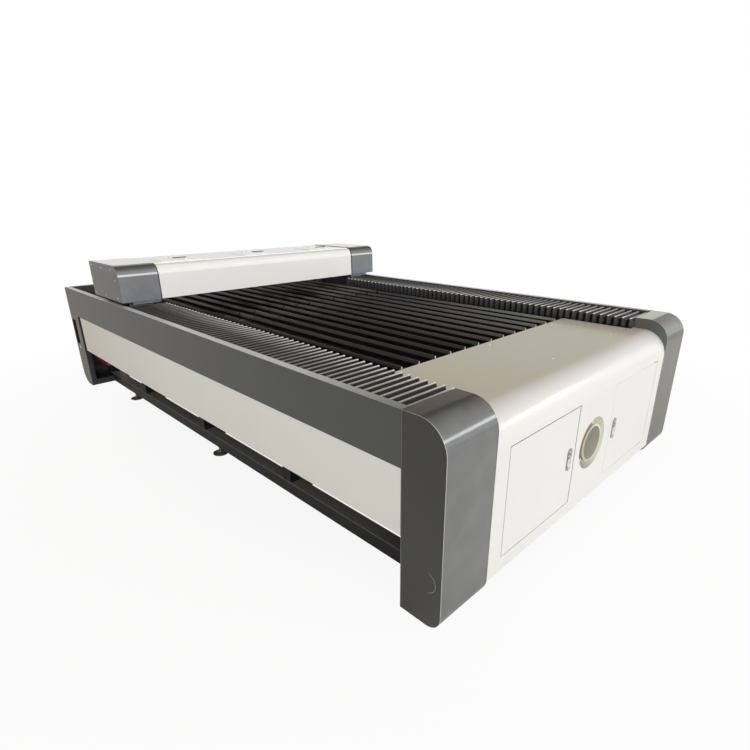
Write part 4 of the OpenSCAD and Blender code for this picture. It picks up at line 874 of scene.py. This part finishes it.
class LASER_OT_bellows(Operator):
    """Makes the four runs of pleated cloth over the guides"""
    bl_idname = "laser.bellows"
    bl_label = "Bellows"

    def execute(self, context):
        sizes = context.scene.laser_sizes
        for node, name in (("bellows_front", "front"), ("bellows_rear", "rear")):
            low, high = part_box(node)
            low.x = min(v.co.x for v in NODES[node].data.vertices if v.co.x > 0)
            right = self.run(f"{name}_bellows_right", low, high, sizes)
            left = mirrored(right, f"{name}_bellows_left")
            fixed, moving = (low.y, high.y) if name == "front" else (high.y, low.y)
            for piece in (right, left):
                finish_with(piece, "Bellows cloth")
                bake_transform(piece)
                self.close_evenly(piece, fixed, moving)
                self.cut(low, high, sizes)
            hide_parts(node)
        return {"FINISHED"}

    def run(self, name, low, high, sizes):
        """One run, modelled as a single pleat and repeated along the guide."""
        count = round((high.y - low.y) / sizes.pleat)
        pitch = (high.y - low.y) / count
        half, rise = (high.x - low.x) / 2, high.z - low.z
        centre = Vector(((low.x + high.x) / 2, low.y + pitch / 2, (low.z + high.z) / 2))
        piece = start_mesh("cube", name, centre, (2 * half, pitch, rise), size=1)
        pick(piece, "faces", lambda f: near(middle(f).z, low.z) or abs(f.normal.y) > 0.9)
        bpy.ops.mesh.delete(type="FACE")
        bpy.ops.mesh.select_all(action="SELECT")
        bpy.ops.mesh.bisect(plane_co=centre, plane_no=(0, 1, 0))
        pick(piece, "edges", lambda e: near(middle(e).z, high.z) and abs(middle(e).x - centre.x) > half / 2)
        bpy.ops.mesh.bevel(offset=sizes.pleat_corner, segments=2, profile=0.6)
        for y in (low.y, low.y + pitch):
            pick(piece, "verts", lambda v: near(v.co.y, y))
            bpy.ops.transform.resize(value=(1 - sizes.pleat_depth / half, 1, 1 - sizes.pleat_depth / rise),
                center_override=(centre.x, y, low.z))
        pick(piece, "edges", lambda e: all(near(v.co.y, centre.y) for v in e.verts))
        bpy.ops.mesh.bevel(offset=sizes.crest / 2, segments=2, profile=0.5)
        bpy.ops.object.mode_set(mode="OBJECT")
        modify(piece, "ARRAY", count=count, use_relative_offset=False, use_constant_offset=True,
            constant_offset_displace=(0, pitch, 0), use_merge_vertices=True, merge_threshold=1e-4)
        bpy.ops.object.mode_set(mode="EDIT")
        bpy.ops.mesh.select_all(action="SELECT")
        bpy.ops.mesh.remove_doubles(threshold=1e-5)
        bpy.ops.mesh.normals_make_consistent(inside=False)
        bpy.ops.object.mode_set(mode="OBJECT")
        modify(piece, "SOLIDIFY", thickness=sizes.cloth_wall, offset=-1)
        smooth(piece, 20)
        return piece

    def cut(self, low, high, sizes):
        """The width and length of the cloth before it was pleated."""
        width = (high.x - low.x) + 2 * (high.z - low.z) - sizes.pleat_depth
        slope = math.hypot(sizes.pleat / 2, sizes.pleat_depth)
        return width, 2 * slope * (high.y - low.y) / sizes.pleat

    def close_evenly(self, piece, fixed, moving):
        """Works out each point's share of the way from the fixed end to the moving end, kept between 0 and 1;
        the shares are not used.
        """
        shares = [(v.co.y - fixed) / (moving - fixed) for v in piece.data.vertices]
        shares = [min(1.0, max(0.0, t)) for t in shares]


class LASER_OT_screws(Operator):
    """Makes the cross-head screws of the top plate, the bed and the gantry's side plates"""
    bl_idname = "laser.screws"
    bl_label = "Screws"

    side_places = ((1.034, 0.996), (0.876, 0.9885), (0.711, 0.9885), (0.662, 0.930), (0.671, 0.8265),
        (0.876, 0.8265), (1.045, 0.8265), (1.058, 0.912))

    def execute(self, context):
        sizes = context.scene.laser_sizes
        seats = islands("panel_screws")
        heights = [low.z for low, high in seats]
        halfway = (min(heights) + max(heights)) / 2
        for name, above in (("deck_screws", True), ("blade_screws", False)):
            group = [pair for pair in seats if (pair[0].z > halfway) == above]
            low, high = group[0]
            model = screw(name, (high.x - low.x) / 2, high.z - low.z)
            places = [Vector(((a.x + b.x) / 2, (a.y + b.y) / 2, a.z)) for a, b in group]
            piece = repeat(model, places, name)
            finish_with(piece, "Screw zinc")
            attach(piece, "base")
            if above:
                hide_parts("panel_screws")
        face_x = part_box("gantry_end_right")[1].x
        for name, side in (("side_screws_left", -1), ("side_screws_right", 1)):
            model = screw(name, sizes.side_screw, sizes.screw_rise)
            turn = Matrix.Rotation(side * math.pi / 2, 4, "Y")
            places = [Matrix.Translation((side * face_x, y, z)) @ turn for y, z in self.side_places]
            piece = repeat(model, places, name)
            finish_with(piece, "Screw zinc")
            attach(piece, "gantry")
        return {"FINISHED"}


class LASER_OT_rebates(Operator):
    """Makes the strips behind the front cover that back the doors' gaps; the left one is dark, as painted
    shade
    """
    bl_idname = "laser.rebates"
    bl_label = "Door rebates"

    shade_strip_slip = 0.0005

    def execute(self, context):
        sizes = context.scene.laser_sizes
        for name, node, side in (("rebate_right", "door_right", 1), ("rebate_left", "door_left", -1)):
            low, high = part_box(node)
            inner, outer = sorted((abs(low.x), abs(high.x)))
            ivory, shade_strip_edge = inner - sizes.door_gap - sizes.rebate, inner - self.shade_strip_slip
            leg = (ivory, inner + sizes.rebate_tuck) if side > 0 else (shade_strip_edge - sizes.rebate, shade_strip_edge)
            piece = self.strip(name, leg, outer - sizes.hinge_room, low.z, high.z, sizes)
            if side < 0:
                flip_across(piece)
            smooth(piece, 40)
            # The left strip is dark as painted shade behind the gap; the right one is ivory.
            finish_with(piece, "Ivory paint" if side > 0 else "Seal rubber")
            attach(piece, "base")
        return {"FINISHED"}

    def strip(self, name, leg, end, foot, head, sizes):
        """A C-shaped strip: an upright beside the gap, and an arm along the door's top and foot."""
        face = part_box("front_cover")[0].y + sizes.cover_wall + sizes.clearance
        back = face + sizes.rebate_wall
        reach = sizes.door_gap + sizes.rebate
        low, high = Vector((leg[0], face, foot - reach)), Vector((leg[1], back, head + reach))
        piece = start_mesh("cube", name, (low + high) / 2, high - low, size=1)
        arms = (foot + sizes.rebate_tuck, head - sizes.rebate_tuck)
        for z in arms:
            bpy.ops.mesh.select_all(action="SELECT")
            bpy.ops.mesh.bisect(plane_co=(0, 0, z), plane_no=(0, 0, 1))
        pick(piece, "faces", lambda f: f.normal.x > 0.9 and not arms[0] < middle(f).z < arms[1])
        bpy.ops.mesh.extrude_region_move(TRANSFORM_OT_translate={"value": (end - leg[1], 0, 0)})
        pick(piece, "edges", lambda e: all(near(v.co.y, back, 1e-6) for v in e.verts) and e.is_manifold
            and e.calc_face_angle(0) > 1)
        bpy.ops.mesh.bevel(offset=0.0004, segments=2)
        bpy.ops.object.mode_set(mode="OBJECT")
        return piece


class LASER_OT_bushes(Operator):
    """Makes the bright bushes in the cable holes of the rear legs"""
    bl_idname = "laser.bushes"
    bl_label = "Leg bushes"

    hole_y, hole_z = 1.706, 0.347

    def execute(self, context):
        sizes = context.scene.laser_sizes
        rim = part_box("rear_legs")[1].x - sizes.bush_recess
        centre = (rim - sizes.bush_depth / 2, self.hole_y, self.hole_z)
        piece = start_mesh("cylinder", "leg_bush_right", centre, turn=(0, math.pi / 2, 0), vertices=32,
            radius=sizes.bush, depth=sizes.bush_depth)
        pick(piece, "faces", lambda f: abs(f.normal.x) > 0.9)
        bpy.ops.mesh.inset(thickness=sizes.bush_wall, depth=0)
        bpy.ops.mesh.bridge_edge_loops()
        pick(piece, "edges", lambda e: all(near(v.co.x, rim) for v in e.verts) and e.calc_face_angle(0) > 1)
        bpy.ops.mesh.bevel(offset=0.001, segments=3)
        bpy.ops.object.mode_set(mode="OBJECT")
        smooth(piece, 35)
        for bush in (piece, mirrored(piece, "leg_bush_left")):
            finish_with(bush, "Screw zinc")
            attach(bush, "base")
        return {"FINISHED"}


class LASER_OT_tube_core(Operator):
    """Makes the bore with its bulbs and the coiled gas return inside the laser tube"""
    bl_idname = "laser.tube_core"
    bl_label = "Tube core"

    end_room = 0.03
    bulb_shares = (0.80, 0.84, 0.95, 0.99)
    bulb_swell = 2.3
    turns, coil_share = 14, 0.6

    def execute(self, context):
        sizes = context.scene.laser_sizes
        low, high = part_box("laser_tube")
        half = (high.x - low.x) / 2 - self.end_room
        self.bore((low + high) / 2, half, sizes)
        self.coil((low + high) / 2, half, sizes)
        return {"FINISHED"}

    def bore(self, centre, half, sizes):
        """The inner tube, drawn out into a bulb near each end."""
        piece = start_mesh("cylinder", "tube_bore", centre, turn=(0, math.pi / 2, 0), vertices=24,
            radius=sizes.bore, depth=2 * half)
        for side in (-1, 1):
            rings = [centre.x + side * share * half for share in self.bulb_shares]
            for x in rings:
                bpy.ops.mesh.select_all(action="SELECT")
                bpy.ops.mesh.bisect(plane_co=(x, 0, 0), plane_no=(1, 0, 0))
            for x in rings[1:3]:
                pick(piece, "verts", lambda v: near(v.co.x, x, 1e-4))
                bpy.ops.transform.resize(value=(1, self.bulb_swell, self.bulb_swell), center_override=centre)
        bpy.ops.object.mode_set(mode="OBJECT")
        smooth(piece, 50)
        finish_with(piece, "Milled alloy")
        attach(piece, "gantry")

    def coil(self, centre, half, sizes):
        """The gas return wound round the bore."""
        run = self.coil_share * half
        piece = start_mesh("circle", "gas_coil", (0, sizes.coil, -run), turn=(0, math.pi / 2, 0), vertices=8,
            radius=sizes.coil_pipe)
        bpy.ops.object.mode_set(mode="OBJECT")
        modify(piece, "SCREW", axis="Z", angle=2 * math.pi, screw_offset=2 * run / self.turns,
            iterations=self.turns, steps=20, render_steps=20, use_merge_vertices=True)
        piece.data.transform(Matrix.Translation(centre) @ Matrix.Rotation(math.pi / 2, 4, "Y"))
        smooth(piece, 60)
        finish_with(piece, "Screw zinc")
        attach(piece, "gantry")


class LASER_OT_terminals(Operator):
    """Makes the terminal blocks on the electrics behind the left door"""
    bl_idname = "laser.terminals"
    bl_label = "Terminal blocks"

    block = Vector((0.0105, 0.011, 0.014))
    wall, pocket = 0.0022, 0.004
    seat_y, first_x, rows_z, count = 0.045, 0.232, (0.163, 0.262), 13

    def execute(self, context):
        pitch = context.scene.laser_sizes.terminal
        low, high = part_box("control_panel")
        piece = start_mesh("cube", "terminal_blocks", (0, -self.block.y / 2, 0), self.block, size=1)
        pick(piece, "faces", lambda f: f.normal.y < -0.9)
        bpy.ops.mesh.inset(thickness=self.wall, depth=0)
        bpy.ops.mesh.extrude_region_move(TRANSFORM_OT_translate={"value": (0, self.pocket, 0)})
        pick(piece, "edges", lambda e: all(near(v.co.y, -self.block.y) for v in e.verts)
            and e.calc_face_angle(0) > 1)
        bpy.ops.mesh.bevel(offset=0.0006, segments=2)
        bpy.ops.object.mode_set(mode="OBJECT")
        first = Vector((low.x + self.first_x, high.y - self.seat_y, low.z))
        places = [first + Vector((pitch * i, 0, row)) for row in self.rows_z for i in range(self.count)]
        piece = repeat(piece, places, "terminal_blocks")
        smooth(piece, 30)
        finish_with(piece, "Terminal green")
        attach(piece, "base")
        return {"FINISHED"}


class LASER_OT_finishes(Operator):
    """Makes the shared effects and finishes, and puts them on the frame"""
    bl_idname = "laser.finishes"
    bl_label = "Finishes"

    def execute(self, context):
        paint, sizes = context.scene.laser_paint, context.scene.laser_sizes
        groups = {"grain": make_grain_group(), "dust": make_dust_group(), "scuff": make_scuff_group(),
            "streak": make_streak_group(), "edge": make_edge_wear_and_highlight_group(), "haze": make_painted_sheen_group()}
        self.paint_covers(paint, sizes, groups)
        self.coat_greys(paint, sizes, groups)
        self.enamel_frame(paint, groups)
        self.finish_bed_and_locks(paint, groups)
        self.finish_works(groups)
        return {"FINISHED"}

    def paint_covers(self, paint, sizes, groups):
        """The pale panels: the front cover, doors and skirts, and the gantry's cover and hatches."""
        cover = make_gloss("Cover paint", paint.ivory, groups, 0.1, 0.1, 0.3, 0.06)
        # The cover's top is a painted reflection, darker and warmer.
        retouch(cover, lambda tree, look: tint_faces_up(tree, look, tone(236, 228, 208), 0.85))
        # Gantry paint is lighter than the ivory as painted light, with a painted highlight band along the
        # ledge.
        bright = make_gloss("Gantry paint", tone(255, 254, 250), groups, 0.02, 0.05, 1.0, 0.07)
        retouch(bright, lambda tree, look: ledge_highlight(tree, look, sizes.ledge_foot, sizes.ledge_top,
            tone(255, 255, 253)))
        paint_nodes(cover, "front_cover")
        ivory = make_gloss("Ivory paint", paint.ivory, groups, 0.05, 0.1, 0.35, 0.1)
        paint_nodes(ivory, "door_left", "door_right")
        paint_nodes(make_skirt_paint(groups), "skirt_left", "skirt_right", "rear_skirt")
        paint_nodes(bright, "gantry_cover")
        paint_nodes(make_lid_paint(groups), "hatch_left", "hatch_middle", "hatch_right")

    def coat_greys(self, paint, sizes, groups):
        """The grey powder-coated pieces: caps, bands, rear legs and gantry ends."""
        # Per cap: dust, colour of the painted sheen on the front, flat top tone of dust with a painted sheen,
        # colour of the painted line along the inner edge, and share of painted shade towards the foot.
        for side, dust, haze, top, rim, foot_shade in (
                ("left", 0.05, (142, 145, 148), (82, 77, 71), (40, 41, 41), 0.24),
                ("right", 0.3, (118, 120, 121), (238, 231, 220), (206, 204, 198), 0.68)):
            coat = make_cap_coat(f"{side.title()} cap powder coat", paint.cap_grey, groups, dust, tone(*haze),
                tone(*top), tone(*rim), foot_shade)
            paint_nodes(coat, f"cap_{side}")
        paint_nodes(make_band_coat(paint.graphite, groups), "band_left", "band_right", "rear_band")
        paint_nodes(make_leg_coat(groups), "rear_legs")
        paint_nodes(make_end_coat(groups, sizes), "gantry_end_left", "gantry_end_right", "carriages")

    def enamel_frame(self, paint, groups):
        """The black welded frame with its tubes and posts, and the painted extraction duct."""
        enamel = make_paint("Frame enamel", paint.frame_black, 0.4, 300, groups, dust=0.2, edges=0.4)
        # Post enamel is the frame's black made darker, as painted shade.
        posts = make_paint("Post enamel", tone(15, 15, 14), 0.5, 300, groups, dust=0.1, edges=0.1)
        duct = make_paint("Duct paint", paint.duct, 0.45, 300, groups, dust=0.1, cloud=0.12, edges=0.3)
        paint_nodes(enamel, "cross_tubes", "slat_bars", "scrap_pan", "cabinet", "tube_holders")
        paint_nodes(make_rail_enamel(groups), "long_tubes")
        paint_nodes(posts, "posts")
        paint_nodes(duct, "exhaust_duct")
        paint_nodes(make_collar_paint(groups), "exhaust_collar")

    def finish_bed_and_locks(self, paint, groups):
        """The blades, the cloth and the two bright locks."""
        chrome = make_metal("Lock chrome", tone(226, 226, 231), 0.3, groups, 30, 0, 0.15)
        paint_nodes(make_blade_finish(paint.blade_black, groups), "bed_slats")
        paint_nodes(make_bellows_cloth(paint.cloth, groups), "bellows_front", "bellows_rear")
        paint_nodes(make_lock_chrome(groups), "lock_left", "lock_right")
        paint_nodes(chrome, "paddle_left", "paddle_right", "button_left", "button_right")

    def finish_works(self, groups):
        """The drives, the optics and the small fittings in their metals, plastics and glass."""
        for name, rgb, rough, streaks, dust, metallic, nodes in (
                ("Screw zinc", (255, 255, 252), 0.24, 60, 0, 0.35, ()),
                ("Foot zinc", (128, 125, 117), 0.22, 60, 0, 0.55, ("levelling_feet",)),
                ("Zinc plate", (200, 198, 190), 0.3, 50, 0.1, 1.0, ("panel_screws", "door_hinges",
                    "control_panel", "y_idler_left", "y_idler_right", "x_drive_pulley", "x_idler_pulley",
                    "y_bearings")),
                ("Ground steel", (190, 192, 194), 0.25, 80, 0.05, 1.0, ("guide_rails", "guide_blocks",
                    "y_shaft", "x_rail")),
                ("Milled alloy", (196, 198, 200), 0.35, 40, 0.05, 1.0, ("gantry_beam", "mirror_mounts",
                    "head_carriage")),
                ("Turned brass", (200, 160, 90), 0.28, 60, 0, 1.0, ("focus_tube",))):
            paint_nodes(make_metal(name, tone(*rgb), rough, groups, streaks, dust, metallic), *nodes)
        for name, rgb, rough, grain, nodes in (
                # The first row is the dark strip behind the left door's gap, standing in for shade.
                ("Seal rubber", (46, 46, 43), 0.7, 500, ()),
                ("Terminal green", (48, 112, 74), 0.45, 500, ()),
                ("Belt rubber", (26, 26, 26), 0.7, 300, ("y_belts", "x_belt"))):
            paint_nodes(make_plastic(name, tone(*rgb), rough, groups, grain), *nodes)
        paint_nodes(make_paint("Motor enamel", tone(28, 28, 29), 0.45, 400, groups), "y_motor", "x_motor")
        paint_nodes(make_wire_sheath(groups), "leg_wiring")
        paint_nodes(make_glass(), "laser_tube")


class LASER_OT_stage(Operator):
    """Sets the floor, the soft lights, the surroundings and the camera"""
    bl_idname = "laser.stage"
    bl_label = "Stage"

    def execute(self, context):
        settings = context.scene.laser_stage
        self.add_floor(context, settings)
        self.add_key_light(settings)
        self.add_window(settings)
        world = bpy.data.worlds.new("Pale surroundings")
        context.scene.world = world
        world.use_nodes = True
        self.fill_world(world.node_tree, settings)
        self.add_camera(context)
        context.scene.view_settings.view_transform = "Standard"
        return {"FINISHED"}

    def add_floor(self, context, settings):
        """A pale floor that fades to plain white away from the machine."""
        bpy.ops.object.select_all(action="DESELECT")
        bpy.ops.mesh.primitive_plane_add(size=60, location=(0, 0, 0))
        floor = context.object
        floor.name = "studio_floor"
        mat, tree, shader = new_material("Studio floor", Roughness=0.9)
        shader.inputs["Base Color"].default_value = (*settings.floor, 1)
        path = tree.nodes.new("ShaderNodeLightPath")
        glow = add_node(tree, "ShaderNodeEmission", {"Color": (1, 1, 1, 1), "Strength": 1.0})
        blend = tree.nodes.new("ShaderNodeMixShader")
        place = add_node(tree, "ShaderNodeVectorMath", operation="LENGTH")
        join(tree, (tree.nodes.new("ShaderNodeTexCoord").outputs["Object"], place.inputs[0]))
        far = ramp_mask(tree, place.outputs["Value"], 1.2, 3.6)
        seen = product(tree, path.outputs["Is Camera Ray"], mix_values(tree, far, 0.9, 1.0))
        join(tree, (seen, blend.inputs[0]), (shader.outputs[0], blend.inputs[1]),
            (glow.outputs[0], blend.inputs[2]),
            (blend.outputs[0], tree.nodes["Material Output"].inputs["Surface"]))
        floor.data.materials.append(mat)

    def add_key_light(self, settings):
        """One wide soft light from beyond the door end, to the left."""
        low, off = settings.key_height, settings.key_heading
        source = Vector((-math.sin(off) * math.cos(low), -math.cos(off) * math.cos(low), math.sin(low)))
        turn = source.to_track_quat("Z", "Y").to_euler()
        bpy.ops.object.light_add(type="SUN", location=source * 6, rotation=turn)
        lamp = bpy.context.object
        lamp.name = "key_light"
        lamp.data.energy = settings.key_level
        lamp.data.angle = settings.key_spread

    def add_window(self, settings):
        """A low, long window off the door end's right corner, which draws a streak on rounded corners."""
        place, corner = Vector((3.0, -5.0, 2.15)), Vector((-0.9, -1.75, 0.72))
        turn = (place - corner).to_track_quat("Z", "Y").to_euler()
        bpy.ops.object.light_add(type="AREA", location=place, rotation=turn)
        lamp = bpy.context.object
        lamp.name = "window_light"
        lamp.data.shape = "RECTANGLE"
        lamp.data.size, lamp.data.size_y = 3.6, 0.62
        lamp.data.energy = settings.window_level

    def fill_world(self, tree, settings):
        """Plain white to the eye; as light it fades from the horizon to a warm ceiling and a pale side."""
        path = tree.nodes.new("ShaderNodeLightPath")
        way = coordinates(tree, "Generated")
        horizon = (settings.horizon_level,) * 3
        facing = ramp_mask(tree, way["Y"], 0.12, -0.25)
        upper = mix_colours(tree, facing, settings.ceiling, settings.bright_side)
        shade = mix_colours(tree, ramp_mask(tree, way["Z"], 0.11, 0.42), horizon, upper)
        seen = mix_colours(tree, path.outputs["Is Camera Ray"], shade, (1, 1, 1))
        join(tree, (seen, tree.nodes["Background"].inputs["Color"]))

    def add_camera(self, context):
        """A standing viewer off the left front corner."""
        heading, pitch, roll = math.radians(-44.711), math.radians(21.377), math.radians(-0.327)
        ahead = Vector((-math.sin(heading) * math.cos(pitch), math.cos(heading) * math.cos(pitch),
            -math.sin(pitch)))
        across = Vector((math.cos(heading), math.sin(heading), 0))
        above = across.cross(ahead)
        right = across * math.cos(roll) + above * math.sin(roll)
        up = above * math.cos(roll) - across * math.sin(roll)
        turn = Matrix((right, up, -ahead)).transposed().to_euler()
        bpy.ops.object.camera_add(location=(-1.9778, -2.5148, 1.3317), rotation=turn)
        camera = context.object
        camera.name = "standing_view"
        camera.data.sensor_width = 36
        camera.data.lens = 24.2486
        camera.data.shift_x, camera.data.shift_y = -0.01169, 0.0359
        camera.data.clip_end = 200
        context.scene.camera = camera


class LASER_PT_panel(Panel):
    """The sizes, colours and steps in the 3D view's sidebar"""
    bl_idname = "LASER_PT_panel"
    bl_label = "Laser Bed"
    bl_space_type = "VIEW_3D"
    bl_region_type = "UI"
    bl_category = "Laser Bed"

    def draw(self, context):
        for group in (context.scene.laser_paint, context.scene.laser_sizes, context.scene.laser_stage):
            box = self.layout.box()
            for key in group.__annotations__:
                box.prop(group, key)
        for step in STEPS:
            self.layout.operator(step.bl_idname)


STEPS = (LASER_OT_finishes, LASER_OT_bellows, LASER_OT_screws, LASER_OT_rebates, LASER_OT_bushes,
    LASER_OT_tube_core, LASER_OT_terminals, LASER_OT_stage)
CLASSES = (LaserPaint, LaserSizes, LaserStage, *STEPS, LASER_PT_panel)


def register():
    for cls in CLASSES:
        bpy.utils.register_class(cls)
    bpy.types.Scene.laser_paint = PointerProperty(type=LaserPaint)
    bpy.types.Scene.laser_sizes = PointerProperty(type=LaserSizes)
    bpy.types.Scene.laser_stage = PointerProperty(type=LaserStage)


def unregister():
    del bpy.types.Scene.laser_stage
    del bpy.types.Scene.laser_sizes
    del bpy.types.Scene.laser_paint
    for cls in reversed(CLASSES):
        bpy.utils.unregister_class(cls)


def main():
    register()
    for step in STEPS:
        area, name = step.bl_idname.split(".")
        getattr(getattr(bpy.ops, area), name)()


if __name__ == "__main__":
    main()
